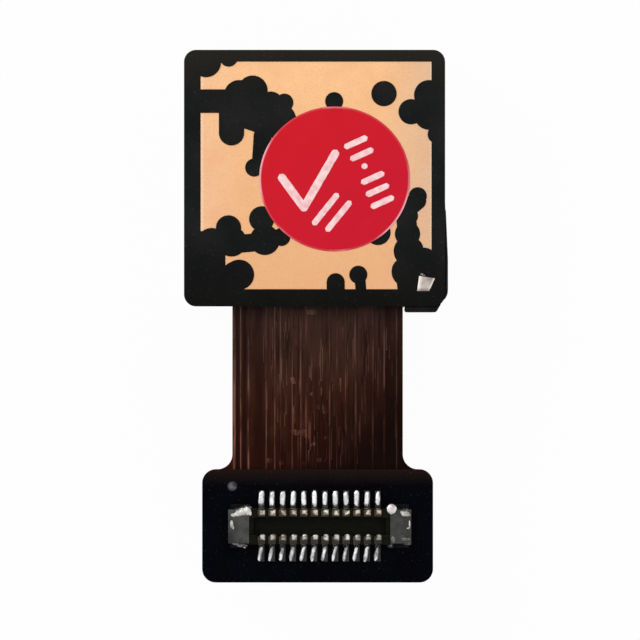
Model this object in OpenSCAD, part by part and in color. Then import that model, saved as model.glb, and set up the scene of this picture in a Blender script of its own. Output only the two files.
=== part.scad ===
// Autofocus camera module on a rigid-flex circuit, for a phone or tablet.
// It lies with its lens down: the shield can's front face is z = 0, the optical axis is the Z axis,
// +Z points to the back of the circuit board and the flat tail runs towards -Y.

/* [Camera head] */
// Width of the head board, across the tail
head_w = 8.65; // [8:0.05:10]
// Length of the head board, along the tail
head_l = 8.5; // [8:0.05:10]
// Corner radius of the head board
head_r = 0.4; // [0.2:0.05:0.8]
// How far the head board stands out past the shield can all round
board_overhang = 0.05; // [0.02:0.01:0.15]

/* [Board layers] */
// Thickness of the rigid layer on the sensor side of the film
front_layer_t = 0.15; // [0.1:0.01:0.3]
// Thickness of the polyimide film with its copper
film_t = 0.12; // [0.08:0.01:0.2]
// Thickness of the rigid layer on the back of the film
rear_layer_t = 0.15; // [0.1:0.01:0.3]
// Thickness of the gold-plated copper plane and of the pads
copper_t = 0.035; // [0.03:0.005:0.07]
// Thickness of the black solder mask over the copper
mask_t = 0.035; // [0.03:0.005:0.06]
// Bare border between the copper plane and the board's edge
copper_border = 0.2; // [0.1:0.05:0.3]

/* [Bare gold window] */
// Mask left at the two long sides of the window, on average
window_border_w = 0.5; // [0.4:0.05:0.8]
// Mask left at the ends of the window, on average
window_border_l = 0.48; // [0.4:0.01:0.8]
// Radius of the smallest mask dots over vias
dot_s = 0.3; // [0.2:0.01:0.35]
// Radius of the middle mask dots
dot_m = 0.42; // [0.35:0.01:0.45]
// Radius of the large mask dots
dot_l = 0.5; // [0.45:0.01:0.6]
// Diameter of the round inspection sticker
sticker_d = 5; // [3:0.1:6]
// Thickness of the sticker
sticker_t = 0.05; // [0.04:0.01:0.12]

/* [Flexible tail] */
// Width of the tail
tail_w = 5.65; // [3:0.05:7]
// Free length of the tail between the two boards
tail_l = 5.4; // [2:0.1:20]
// How far the tail's middle line lies off the optical axis
tail_x = 0.1; // [-0.5:0.05:0.5]
// Radius of the fillets where the tail meets the connector board
tail_fillet_r = 0.5; // [0.1:0.05:0.6]

/* [Connector board] */
// Width of the connector board
plug_board_w = 7.65; // [7.4:0.05:10]
// Length of the connector board
plug_board_l = 3.75; // [3.2:0.05:6]
// Corner radius of the connector board
plug_board_r = 0.45; // [0.1:0.05:0.8]
// Thickness of the steel stiffener under the connector
stiffener_t = 0.2; // [0.1:0.01:0.3]
// Diameter of the dot that marks contact one
pin_dot_d = 0.33; // [0.2:0.01:0.5]

/* [Board-to-board connector] */
// Distance from one contact to the next
pitch = 0.35; // [0.34:0.01:0.4]
// Contacts in each of the two rows
contacts_per_row = 12; // [4:1:14]
// Width of a contact's soldered tail
contact_tail_w = 0.18; // [0.12:0.01:0.2]
// Width of a contact where it wraps the housing wall
contact_head_w = 0.24; // [0.2:0.01:0.26]
// Thickness of the contact strip
contact_t = 0.07; // [0.05:0.01:0.08]
// Reach of a soldered tail from the connector's middle line
contact_reach = 1.17; // [0.9:0.01:1.3]
// Width of the slot between the two contact rows
slot_w = 0.56; // [0.4:0.01:0.8]
// Thickness of the housing walls that the contacts wrap
wall_t = 0.18; // [0.14:0.01:0.25]
// Height of those walls, up to where their round tops begin
wall_h = 0.42; // [0.35:0.01:0.7]
// Thickness of the housing's floor
floor_t = 0.14; // [0.1:0.01:0.2]
// Length of the solid block at each end of the housing
end_block_l = 0.6; // [0.45:0.01:0.8]
// Thickness of the sheet of the hold-down clips
clip_t = 0.07; // [0.05:0.01:0.1]
// Reach of a clip's soldered feet past its sides
clip_foot = 0.16; // [0.1:0.01:0.25]
// Depth of the clips' tops below the tops of the contacts
clip_drop = 0.07; // [0.05:0.01:0.12]

/* [Shield can] */
// Depth of the can along the optical axis
can_h = 3.3; // [3.2:0.05:4]
// Wall thickness of the can
can_t = 0.15; // [0.1:0.01:0.2]
// Corner radius of the can
can_r = 0.4; // [0.3:0.05:0.6]
// Outer bend radius round the can's front face
can_bend_r = 0.2; // [0.16:0.01:0.25]
// Width of the notches in the can's rear edge that the base's lugs fill
lug_w = 1.2; // [0.8:0.1:1.6]
// Depth of those notches
lug_h = 0.28; // [0.2:0.01:0.4]

/* [Focus actuator] */
// Travel of the lens towards the subject
travel = 0.3; // [0.1:0.01:0.3]
// Thickness of the base's flange, behind the can
base_t = 0.45; // [0.3:0.01:0.8]
// Depth of the base's step inside the can
base_step = 0.2; // [0.1:0.01:0.3]
// Height of the spacer frame in front of the front spring
spacer_h = 0.35; // [0.32:0.01:0.5]
// Thickness of the leaf springs
spring_t = 0.05; // [0.03:0.01:0.08]
// Width of a leaf spring's arms
arm_w = 0.08; // [0.05:0.01:0.1]
// Wall of the lens carrier round the barrel
carrier_t = 0.25; // [0.2:0.01:0.3]
// Radial thickness of the coil
coil_t = 0.25; // [0.15:0.01:0.3]
// Height of the coil
coil_h = 1.4; // [1:0.05:1.45]
// Height of the corner magnets
magnet_h = 1.85; // [1.5:0.05:1.95]
// Depth of the corner magnets along the can's diagonal
magnet_t = 1.3; // [1:0.05:1.4]
// Distance from the optical axis to a magnet's blunt flanks
magnet_side = 2; // [1.8:0.05:2.2]
// Radius of the posts that stake the rear springs
post_r = 0.22; // [0.15:0.01:0.25]
// Height of those posts in front of the base's step
post_h = 0.3; // [0.2:0.05:0.4]
// Thickness of the carrier's flanges beside the coil
flange_t = 0.1; // [0.06:0.01:0.12]
// Width of a terminal
terminal_w = 0.36; // [0.25:0.01:0.4]
// Thickness of a terminal
terminal_t = 0.08; // [0.05:0.01:0.1]
// Distance between the two terminals
terminal_pitch = 0.62; // [0.5:0.01:0.7]
// How far the glue bead over the terminals stands out past the head board
bead_t = 0.2; // [0.12:0.01:0.3]
// Length of that bead up the side of the head
bead_l = 3.9; // [3:0.1:5]

/* [Lens] */
// Diameter of the lens barrel
barrel_d = 6.4; // [6:0.05:6.5]
// Depth of the barrel's front behind the can's front face, focused far away
barrel_recess = 0.4; // [0.35:0.01:0.5]
// Thickness of the barrel's front wall
barrel_front_t = 0.3; // [0.25:0.01:0.35]
// Diameter of the lens aperture
aperture_d = 2.3; // [1.6:0.1:2.6]
// Diameter of the first lens element
lens_d = 3.8; // [3.4:0.1:4]
// Growth in diameter from each element to the next
lens_step = 0.42; // [0.2:0.01:0.44]
// Edge thickness of each element
lens_t = 0.36; // [0.3:0.01:0.36]
// Thickness of the black film rings between the elements
ring_t = 0.05; // [0.04:0.01:0.08]
// Width of the rim round each element's optical zone
lens_rim = 0.78; // [0.6:0.01:0.8]
// Thickness of the retainer ring behind the last element
retainer_t = 0.3; // [0.2:0.01:0.4]
// Length of the barrel's bare lip behind the retainer
barrel_lip = 0.15; // [0.1:0.01:0.3]

/* [Sensor] */
// Height of the sensor holder
holder_h = 1.1; // [1:0.05:1.6]
// Wall of the sensor holder
holder_t = 0.4; // [0.3:0.05:0.5]
// Thickness of the holder's filter shelf
shelf_t = 0.4; // [0.35:0.05:0.5]
// Width of the image sensor, across the tail
sensor_w = 5.6; // [4.5:0.1:6]
// Length of the image sensor, along the tail
sensor_l = 4.5; // [3.5:0.1:5]
// Thickness of the image sensor
sensor_t = 0.2; // [0.1:0.01:0.3]
// Width of the infrared filter
filter_w = 5.8; // [5:0.1:6.4]
// Length of the infrared filter
filter_l = 4.8; // [4:0.1:5.4]
// Thickness of the infrared filter
filter_t = 0.21; // [0.11:0.01:0.3]
// Length of a chip capacitor
cap_l = 0.6; // [0.4:0.05:0.8]
// Distance from one chip capacitor to the next
cap_pitch = 1.2; // [0.9:0.05:1.3]
// Height of the driver and memory chips
chip_h = 0.3; // [0.2:0.01:0.4]

/* [Fits] */
// Slack of pieces that are pressed or glued in place
seat_gap = 0.02; // [0.01:0.01:0.04]
// Air gap round the lens barrel in the can's opening
barrel_gap = 0.25; // [0.15:0.01:0.3]
// Air gap round the lens barrel in the base's bore
base_gap = 0.15; // [0.1:0.01:0.2]
// Air gap between the coil and the magnets
magnet_gap = 0.15; // [0.1:0.01:0.2]
// Air gap round the carrier in the front spacer and beside the spring arms
carrier_gap = 0.12; // [0.1:0.01:0.15]

/* [Hidden] */

$fn = 64;
// Extra depth that lets a cutting shape run past the face it cuts
e = 0.1;

// Outline of the can, the base and the holder, and of the room inside the can
can_w = head_w - 2 * board_overhang;
can_l = head_l - 2 * board_overhang;
room_w = can_w - 2 * can_t;
room_l = can_l - 2 * can_t;
room_r = can_r - can_t;

// Heights of the stack, from the can's front face backwards
spring_z = can_t + spacer_h;
carrier_z = spring_z + spring_t;
base_z = can_h - base_step;
rear_spring_z = base_z - spring_t;
holder_z = can_h + base_t;
board_z = holder_z + holder_h;
film_z = board_z + front_layer_t;
rear_layer_z = film_z + film_t;
copper_z = rear_layer_z + rear_layer_t;
mask_z = copper_z + copper_t;
sticker_z = mask_z + mask_t;

// Radii round the optical axis
barrel_r = barrel_d / 2;
carrier_r = barrel_r + carrier_t;
coil_flat = carrier_r + coil_t;
magnet_flat = coil_flat + magnet_gap;
opening_r = barrel_r + barrel_gap;
base_bore_r = barrel_r + base_gap;
coil_z = carrier_z + travel + flange_t;

// The lens elements and their rings
lens_count = 5;
barrel_h = barrel_front_t + lens_count * lens_t + (lens_count - 1) * ring_t + retainer_t + barrel_lip;
// Depth of each element's centre against its edge, front face then rear face: positive is rearward
lens_dish = [[-0.2, -0.05], [0.06, -0.1], [-0.04, 0], [0.12, 0.04], [0.12, -0.12]];

// The window's edges: it sits slightly off the board's middle
win_left = -head_w / 2 + window_border_w + 0.05;
win_right = head_w / 2 - window_border_w + 0.05;
win_bottom = -head_l / 2 + window_border_l + 0.09;
win_top = head_l / 2 - window_border_l + 0.09;
sticker_x = 0.68;
sticker_y = -0.08;

// The connector board and its plug
plug_board_x = tail_x;
plug_board_y = -head_l / 2 - tail_l - plug_board_l / 2;
plug_x = plug_board_x + 0.07;
plug_y = plug_board_y;
wall_in = slot_w / 2 + contact_t;
wall_out = wall_in + wall_t;
plug_half_w = wall_out + contact_t;
arch_r = wall_t / 2 + contact_t;
rib_w = pitch - contact_head_w - 2 * seat_gap;
row_l = (contacts_per_row - 1) * pitch;
comb_l = row_l + contact_head_w + 2 * seat_gap;
body_l = comb_l + 0.5;
clip_w = end_block_l + seat_gap;
plug_l = body_l + 2 * clip_w + 2 * clip_t;
plug_h = wall_h + arch_r;
end_block_h = plug_h - clip_drop - clip_t - seat_gap;
end_block_half = plug_half_w - clip_t - 0.06;
// The clips lie over the end blocks, with some slack
clip_x = body_l / 2 + seat_gap;
clip_half = end_block_half + seat_gap + clip_t;

// ---------- shared shapes ----------

module rounded_rect(w, l, r) {
    square([w - 2 * r, l], center = true);
    square([w, l - 2 * r], center = true);
    for (x = [-1, 1], y = [-1, 1])
        translate([x * (w / 2 - r), y * (l / 2 - r)]) circle(r);
}

// A slab whose front edge, at z = 0, is bent round with radius bend
module bent_block(w, l, r, bend, h) {
    translate([0, 0, bend]) linear_extrude(h - bend) rounded_rect(w, l, r);
    for (x = [-1, 1], y = [-1, 1])
        translate([x * (w / 2 - r), y * (l / 2 - r), 0]) rotate_extrude() {
            square([r - bend, bend]);
            intersection() {
                translate([r - bend, bend]) circle(bend);
                square([r, bend]);
            }
        }
    rotate([90, 0, 90]) linear_extrude(w - 2 * r, center = true) bent_edge(l, bend);
    rotate([90, 0, 0]) linear_extrude(l - 2 * r, center = true) bent_edge(w, bend);
}

// Cross-section of the bent front edge of such a slab
module bent_edge(w, bend) {
    translate([-w / 2 + bend, 0]) square([w - 2 * bend, bend]);
    intersection() {
        for (x = [-1, 1]) translate([x * (w / 2 - bend), bend]) circle(bend);
        translate([-w / 2, 0]) square([w, bend]);
    }
}

// A regular octagon with a flat side towards each axis, given by the distance to its flats
module octagon(flat) {
    rotate(22.5) circle(flat / cos(22.5), $fn = 8);
}

module ring_2d(r_out, r_in) {
    difference() {
        circle(r_out);
        circle(r_in);
    }
}

// The corner areas between the octagon of the coil and the room inside the can
module corner_area(quadrant, side) {
    intersection() {
        square([room_w - 2 * seat_gap, room_l - 2 * seat_gap], center = true);
        mirror([quadrant[0] < 0 ? 1 : 0, 0]) mirror([0, quadrant[1] < 0 ? 1 : 0])
            difference() {
                translate([side, side]) square(room_w);
                rotate(45) square([2 * magnet_flat, 4 * room_w], center = true);
                rotate(45) translate([magnet_flat + magnet_t, -room_w]) square(2 * room_w);
            }
    }
}

QUADRANTS = [[1, 1], [-1, 1], [-1, -1], [1, -1]];

// An arc-shaped strip between two radii, from angle a to angle b, under 90 degrees long
module arc_strip(r_in, r_out, a, b) {
    reach = 2 * r_out;
    intersection() {
        ring_2d(r_out, r_in);
        polygon([[0, 0], reach * [cos(a), sin(a)], reach * [cos((a + b) / 2), sin((a + b) / 2)],
                 reach * [cos(b), sin(b)]]);
    }
}

// ---------- shield can and focus actuator ----------

module shield_can() {
    color("silver") difference() {
        bent_block(can_w, can_l, can_r, can_bend_r, can_h);
        translate([0, 0, can_t]) linear_extrude(can_h) rounded_rect(room_w, room_l, room_r);
        translate([0, 0, -e]) cylinder(h = can_t + 2 * e, r = opening_r);
        lugs(lug_w, can_h - lug_h, can_h + e, can_t + e);
    }
}

// A lug in the middle of each wall, w wide and t thick, from z_front to z_rear
module lugs(w, z_front, z_rear, t) {
    for (side = [0, 1]) {
        mirror([side, 0, 0]) translate([can_w / 2 - can_t, -w / 2, z_front])
            cube([t, w, z_rear - z_front]);
        mirror([0, side, 0]) translate([-w / 2, can_l / 2 - can_t, z_front])
            cube([w, t, z_rear - z_front]);
    }
}

module front_spacer() {
    color("dimgray") translate([0, 0, can_t]) linear_extrude(spacer_h) difference() {
        rounded_rect(room_w - 2 * seat_gap, room_l - 2 * seat_gap, room_r);
        octagon(carrier_r + carrier_gap);
    }
}

// One leaf spring pattern: a ring on the carrier, a plate in each corner and an arm between them
module spring_2d() {
    arm_r = carrier_r + carrier_gap;
    ring_2d(carrier_r - seat_gap, barrel_r + 2 * seat_gap);
    for (i = [0:3]) {
        start = 45 + 90 * i;
        difference() {
            corner_area(QUADRANTS[i], magnet_side + 0.1);
            translate(post_xy * QUADRANTS[i]) circle(post_r + seat_gap);
        }
        arc_strip(arm_r, arm_r + arm_w, start, start + 36);
        arc_strip(arm_r, magnet_flat + 0.1, start - 1.5, start + 1.5);
        arc_strip(carrier_r - 0.05, arm_r + arm_w, start + 34, start + 36);
    }
}

// The stake posts of the base stand on the can's diagonals, two thirds of the way into the corner plates
post_xy = (magnet_flat + 2 * magnet_t / 3) * cos(45);

module front_leaf_spring() {
    color("goldenrod") translate([0, 0, spring_z]) linear_extrude(spring_t)
        spring_2d();
}

module rear_leaf_spring(side) {
    color("goldenrod") translate([0, 0, rear_spring_z]) linear_extrude(spring_t)
        intersection() {
            spring_2d();
            translate([side * (room_w / 2 + 0.1), 0]) square(room_w, center = true);
        }
}

module corner_magnet(i) {
    color("slategray") translate([0, 0, carrier_z]) linear_extrude(magnet_h)
        corner_area(QUADRANTS[i - 1], magnet_side);
}

module focus_coil() {
    color("darkorange") translate([0, 0, coil_z]) linear_extrude(coil_h) difference() {
        octagon(coil_flat);
        octagon(carrier_r);
    }
}

module lens_carrier() {
    carrier_h = rear_spring_z - carrier_z;
    color("dimgray") translate([0, 0, carrier_z]) difference() {
        union() {
            cylinder(h = carrier_h, r = carrier_r - seat_gap);
            translate([0, 0, coil_z - carrier_z]) linear_extrude(coil_h) octagon(carrier_r);
            for (z = [travel, travel + flange_t + coil_h])
                translate([0, 0, z]) linear_extrude(flange_t) octagon(coil_flat - seat_gap);
        }
        translate([0, 0, -e]) cylinder(h = carrier_h + 2 * e, r = barrel_r + seat_gap);
    }
}

module actuator_base() {
    bore_h = base_step + base_t;
    color("black") difference() {
        union() {
            translate([0, 0, can_h]) linear_extrude(base_t) rounded_rect(can_w, can_l, can_r);
            translate([0, 0, base_z]) linear_extrude(base_step)
                rounded_rect(room_w - 2 * seat_gap, room_l - 2 * seat_gap, room_r);
            lugs(lug_w - 2 * seat_gap, can_h - lug_h + seat_gap, can_h + e, can_t);
            for (q = QUADRANTS)
                translate([post_xy * q[0], post_xy * q[1], base_z - post_h])
                    cylinder(h = post_h + e, r = post_r);
        }
        translate([0, 0, base_z - e]) cylinder(h = bore_h + 2 * e, r = base_bore_r);
        for (x = terminal_xs) terminal_slot(x);
    }
}

// ---------- actuator terminals on the tail side ----------

// The terminals stand midway between the tail's edge and the can's corner round
tail_edge = tail_x + tail_w / 2;
terminal_x = (tail_edge + can_w / 2 - can_r + 0.05) / 2;
terminal_xs = [terminal_x - terminal_pitch / 2, terminal_x + terminal_pitch / 2];
terminal_y = -can_l / 2;
terminal_z = can_h + 0.1;
terminal_root = 0.3;

// The groove in the base that takes a terminal's root
module terminal_slot(x) {
    translate([x - terminal_w / 2 - seat_gap, terminal_y - e, terminal_z - seat_gap])
        cube([terminal_w + 2 * seat_gap, terminal_root + e + seat_gap, terminal_t + 2 * seat_gap]);
}

// A bent metal tab: its root lies in the base, and it runs up the holder's side to the board's edge
module terminal(x) {
    color("lightgray") translate([x - terminal_w / 2, terminal_y - terminal_t, terminal_z]) {
        cube([terminal_w, terminal_root + terminal_t, terminal_t]);
        cube([terminal_w, terminal_t, board_z - seat_gap - terminal_z]);
    }
}

// Outline of the bead, from beside the tail round the board's corner and up its side, where it thins out
module bead_2d() {
    edge_x = head_w / 2;
    edge_y = -head_l / 2;
    polygon([[tail_edge + 0.05, edge_y + bead_l / 4], [tail_edge + 0.05, edge_y - bead_t],
             [edge_x - 0.29, edge_y - bead_t], [edge_x - 0.13, edge_y + 0.09],
             [edge_x + 0.06, edge_y + 0.33], [edge_x + bead_t / 2, edge_y + 0.12 * bead_l],
             [edge_x + bead_t / 2, edge_y + 0.4 * bead_l], [edge_x + bead_t / 5, edge_y + 0.77 * bead_l],
             [edge_x - 0.02, edge_y + bead_l], [edge_x - 0.5, edge_y + 0.77 * bead_l]]);
}

// The black bead that covers the soldered terminals and seals the board's edge round that corner
module terminal_glue() {
    bead_z = holder_z + 0.2;
    color("black") difference() {
        translate([0, 0, bead_z]) linear_extrude(mask_z - bead_z) bead_2d();
        translate([0, 0, bead_z - e]) linear_extrude(board_z - bead_z + e)
            rounded_rect(can_w, can_l, can_r);
        translate([0, 0, board_z]) linear_extrude(mask_z - board_z + e) head_outline();
        for (x = terminal_xs)
            translate([x - terminal_w / 2 - seat_gap, terminal_y - terminal_t - seat_gap, bead_z - e])
                cube([terminal_w + 2 * seat_gap, head_l, board_z - bead_z + e]);
    }
}

// ---------- lens ----------

// Radius of element i, its seat in the barrel, and the radius of its optical zone
function lens_r(i) = lens_d / 2 + i * lens_step / 2;
function seat_z(i) = barrel_recess + barrel_front_t + i * (lens_t + ring_t);
function zone_r(i) = lens_r(i) - lens_rim;

// Points across one optical face, from the axis outwards
function face(i, z, dish) = [for (s = [0:0.125:1]) [s * zone_r(i), z + dish * (1 - s * s)]];
function reverse(list) = [for (k = [len(list) - 1:-1:0]) list[k]];

module lens_element(i) {
    z = seat_z(i);
    color([0.75, 0.85, 0.9, 0.6]) rotate_extrude()
        polygon(concat(
            face(i, z, lens_dish[i][0]),
            [[lens_r(i), z], [lens_r(i), z + lens_t]],
            reverse(face(i, z + lens_t, lens_dish[i][1]))));
}

module lens_ring(i) {
    color("black") translate([0, 0, seat_z(i) - ring_t]) linear_extrude(ring_t)
        ring_2d(lens_r(i), zone_r(i) + 0.05);
}

module lens_retainer() {
    i = lens_count - 1;
    color("black") translate([0, 0, seat_z(i) + lens_t]) rotate_extrude()
        polygon([[zone_r(i) + 0.05, 0], [lens_r(i), 0], [lens_r(i), retainer_t],
                 [zone_r(i) + 0.2, retainer_t]]);
}

module lens_barrel() {
    flare_r = aperture_d / 2 + 0.75;
    rim = 0.15;
    color([0.12, 0.12, 0.13]) difference() {
        translate([0, 0, barrel_recess]) rotate_extrude()
            polygon([[0, 0], [barrel_r - rim, 0], [barrel_r, rim], [barrel_r, barrel_h], [0, barrel_h]]);
        translate([0, 0, barrel_recess]) rotate_extrude()
            polygon([[0, -e], [flare_r, -e], [flare_r, 0], [aperture_d / 2, barrel_front_t - 0.08],
                     [aperture_d / 2, barrel_front_t + e], [0, barrel_front_t + e]]);
        for (i = [0:lens_count - 1])
            translate([0, 0, seat_z(i) - (i > 0 ? ring_t : 0)])
                cylinder(h = barrel_h, r = lens_r(i) + seat_gap / 2);
        for (a = [0:90:270]) rotate(a) translate([barrel_r - 0.35, -0.3, barrel_recess - e])
            cube([1, 0.6, e + 0.15]);
    }
}

// ---------- sensor holder and the parts on the front of the board ----------

module sensor_holder() {
    filter_z = holder_z + filter_t + 0.04;
    color("black") difference() {
        translate([0, 0, holder_z]) linear_extrude(holder_h) rounded_rect(can_w, can_l, can_r);
        translate([0, 0, holder_z + shelf_t]) linear_extrude(holder_h)
            rounded_rect(can_w - 2 * holder_t, can_l - 2 * holder_t, 0.3);
        translate([0, 0, holder_z - e]) linear_extrude(filter_z - holder_z + e)
            square([filter_w + 2 * seat_gap, filter_l + 2 * seat_gap], center = true);
        translate([0, 0, holder_z]) linear_extrude(holder_h)
            square([filter_w - 0.5, filter_l - 0.5], center = true);
    }
}

module infrared_filter() {
    color([0.6, 0.85, 0.9, 0.6]) translate([0, 0, holder_z + 0.04 + filter_t / 2])
        cube([filter_w, filter_l, filter_t], center = true);
}

module image_sensor() {
    color("darkslateblue") translate([0, 0, board_z - sensor_t / 2])
        cube([sensor_w, sensor_l, sensor_t], center = true);
}

// A chip capacitor: its ceramic body is slightly slimmer than its two tinned ends
module chip_capacitor(i) {
    w = cap_l / 2;
    color("burlywood") translate([(i - 2.5) * cap_pitch, -sensor_l / 2 - w - 0.25, board_z - w / 2])
        union() {
            cube([cap_l - 0.1, w - 0.04, w - 0.04], center = true);
            for (x = [-1, 1]) translate([x * (cap_l / 2 - 0.075), 0, 0])
                cube([0.15, w, w], center = true);
        }
}

// A bare chip beside the sensor, w wide
module small_chip(x, w) {
    color("darkgray") translate([x, sensor_l / 2 + 0.7, board_z - chip_h / 2])
        cube([w, 0.8, chip_h], center = true);
}

module driver_chip() {
    small_chip(-1.3, 1.2);
}

module memory_chip() {
    small_chip(1.3, 0.8);
}

// ---------- rigid-flex circuit ----------

module head_outline() {
    rounded_rect(head_w, head_l, head_r);
}

module plug_board_outline() {
    translate([plug_board_x, plug_board_y]) rounded_rect(plug_board_w, plug_board_l, plug_board_r);
}

module head_board_front() {
    color("darkgreen") translate([0, 0, board_z]) linear_extrude(front_layer_t) head_outline();
}

module head_board_rear() {
    color([0.1, 0.11, 0.11]) translate([0, 0, rear_layer_z]) linear_extrude(rear_layer_t)
        head_outline();
}

// One film runs through both boards, with a round fillet where the tail widens
module flex_circuit() {
    tail_end = -head_l / 2 - tail_l;
    color([0.3, 0.14, 0.08]) translate([0, 0, film_z]) linear_extrude(film_t) {
        head_outline();
        plug_board_outline();
        translate([tail_x - tail_w / 2, tail_end - 1]) square([tail_w, tail_l + 2]);
        for (side = [-1, 1])
            translate([tail_x + side * (tail_w / 2 + tail_fillet_r), tail_end + tail_fillet_r])
                difference() {
                    translate([side > 0 ? -tail_fillet_r - e : 0, -tail_fillet_r - e])
                        square(tail_fillet_r + e);
                    circle(tail_fillet_r);
                }
    }
}

module ground_plane() {
    color([0.95, 0.74, 0.55]) translate([0, 0, copper_z]) linear_extrude(copper_t)
        rounded_rect(head_w - 2 * copper_border, head_l - 2 * copper_border, 0.2);
}

// A round-ended strip of mask over a trace, from point a to point b
module strip(a, b, w) {
    span = b - a;
    translate(a) rotate(atan2(span[1], span[0])) {
        translate([0, -w / 2]) square([norm(span), w]);
        circle(w / 2);
        translate([norm(span), 0]) circle(w / 2);
    }
}

module dots(places, r) {
    for (p = places) translate(p) circle(r);
}

// Mask that stays inside the window: dots over vias and strips over the traces between them
module mask_islands() {
    // upper left, from the window's edge down to the sticker
    dots([[win_left + 0.18, win_top - 0.02], [-2.05, 2.9], [-2.5, 2.75]], dot_l);
    dots([[win_left + 0.93, win_top + 0.13], [-1, 2.5], [-2, 0.35]], dot_s);
    dots([[-1.45, 2.45], [-2.75, 1.5]], dot_m);
    strip([win_left - 0.3, 2.55], [-2.6, 2.55], 0.78);
    strip([-2.75, 2.3], [-2.75, 1.5], 2 * dot_m);
    strip([-2.4, 2.3], [-1.2, 1.9], 1.2);
    strip([-1.72, 1.4], [-1.78, 0.4], 0.6);
    // beside the sticker's top, and alone in the upper right
    dots([[0.65, 2.55]], dot_s);
    dots([[2.3, 2.8]], dot_m);
    // upper right, off the window's edge
    dots([[win_right - 0.08, 2.75], [win_right - 0.08, 2.1]], dot_l);
    dots([[3.2, 2.2]], dot_m);
    dots([[win_right + 0.17, 1.45]], dot_s);
    // lower left, in two lobes and the filled corner below them
    dots([[win_left + 0.37, -2.15], [-2.75, -2.1], [-1.65, -2.05], [-2.6, -3.25], [-2.5, -3.2]], dot_l);
    dots([[-2.85, -1.65], [-1.75, -1.35]], dot_m);
    dots([[-1.1, -1.95]], dot_s);
    strip([-2.8, -2.2], [-1.6, -2.1], 0.6);
    strip([win_left + 0.07, -2.5], [win_left + 0.07, win_bottom - 0.2], 1.5);
    strip([win_left + 0.37, win_bottom + 0.18], [-2.6, win_bottom + 0.23], 0.7);
    // two stalks at the lower edge
    dots([[0.7, win_bottom + 0.23], [1.45, win_bottom + 0.48]], dot_s);
    strip([0.7, win_bottom + 0.23], [0.7, win_bottom - 0.2], 2 * dot_s);
    strip([1.5, win_bottom + 0.43], [1.55, win_bottom - 0.2], 0.36);
    // lower right, a spine that leads down to the filled corner
    dots([[3.42, -0.6], [3.13, -1.25]], dot_s);
    dots([[3.08, -1.85], [2.1, -1.8]], dot_m);
    dots([[3.12, -2.42], [3.05, -3.1]], dot_l);
    strip([3, -0.95], [3.1, -2], 0.66);
    strip([3.4, -0.75], [3.1, -1], 0.6);
    strip([3.15, -3.2], [3.2, win_bottom], 0.9);
    strip([win_right - 0.27, -2.8], [win_right - 0.27, win_bottom - 0.2], 1);
}

// The pad's outline, which is also the hole for it in the mask
module corner_pad_2d() {
    translate([win_right, win_bottom])
        polygon([[-0.41, 0.44], [0.11, 0.36], [-0.08, -0.06], [-0.48, -0.06]]);
}

module solder_mask() {
    color([0.13, 0.13, 0.13]) {
        translate([0, 0, copper_z]) linear_extrude(copper_t + mask_t) difference() {
            head_outline();
            rounded_rect(head_w - 2 * copper_border, head_l - 2 * copper_border, 0.2);
        }
        translate([0, 0, mask_z]) linear_extrude(mask_t) difference() {
            rounded_rect(head_w - 2 * copper_border, head_l - 2 * copper_border, 0.2);
            difference() {
                translate([win_left, win_bottom]) square([win_right - win_left, win_top - win_bottom]);
                mask_islands();
            }
            corner_pad_2d();
        }
    }
}

module corner_pad() {
    color("wheat") translate([0, 0, mask_z]) linear_extrude(mask_t + 0.01) corner_pad_2d();
}

module inspection_sticker() {
    color([0.82, 0.1, 0.16]) translate([sticker_x, sticker_y, sticker_z])
        cylinder(h = sticker_t, d = sticker_d);
}

module connector_board() {
    color([0.03, 0.03, 0.05]) translate([0, 0, rear_layer_z]) linear_extrude(rear_layer_t)
        plug_board_outline();
}

module connector_stiffener() {
    color("silver") translate([0, 0, film_z - stiffener_t]) linear_extrude(stiffener_t)
        plug_board_outline();
}

module pin_one_dot() {
    color("gray") translate([plug_x - row_l / 2 - 0.97, plug_y + 1.32, copper_z])
        cylinder(h = copper_t, d = pin_dot_d);
}

// ---------- board-to-board connector ----------

// Puts its children at the connector, and repeats them for both sides when mirrored
module at_plug() {
    translate([plug_x, plug_y, copper_z]) children();
}

module for_each_contact() {
    for (i = [0:contacts_per_row - 1]) translate([i * pitch - row_l / 2, 0, 0]) children();
}

// One pad under each contact's tail and under each foot of a clip, with the same outline
module connector_pads() {
    pad_in = plug_half_w + 0.02;
    color("goldenrod") at_plug() for (side = [0, 1]) mirror([0, side, 0]) {
        for_each_contact() translate([-contact_tail_w / 2, pad_in, 0])
            cube([contact_tail_w, contact_reach - pad_in, copper_t]);
        for (end = [0, 1]) mirror([end, 0, 0])
            translate([clip_x + 0.05, clip_half - clip_t, 0])
                cube([clip_w - 0.05, clip_t + clip_foot, copper_t]);
    }
}

// Half of the wall that a contact wraps, seen along the row
module wall_2d() {
    translate([wall_in, 0]) square([wall_t, wall_h]);
    translate([wall_in + wall_t / 2, wall_h]) circle(wall_t / 2);
}

module connector_housing() {
    color([0.08, 0.08, 0.08]) at_plug() {
        translate([-body_l / 2, -wall_out, 0]) cube([body_l, 2 * wall_out, floor_t]);
        for (side = [0, 1]) mirror([0, side, 0]) {
            rotate([90, 0, 90]) linear_extrude(body_l, center = true) wall_2d();
            housing_ribs();
        }
        for (end = [0, 1]) mirror([end, 0, 0]) end_block();
    }
}

// The ribs between the contacts of one row, and the wider ones at the row's ends
module housing_ribs() {
    rib_h = wall_h + wall_t / 2;
    for (i = [0:contacts_per_row - 2])
        translate([(i + 0.5) * pitch - row_l / 2 - rib_w / 2, slot_w / 2, 0])
            cube([rib_w, plug_half_w - slot_w / 2, rib_h]);
    for (end = [0, 1]) mirror([end, 0, 0])
        translate([comb_l / 2, slot_w / 2, 0])
            cube([(body_l - comb_l) / 2, plug_half_w - slot_w / 2, rib_h]);
}

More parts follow.
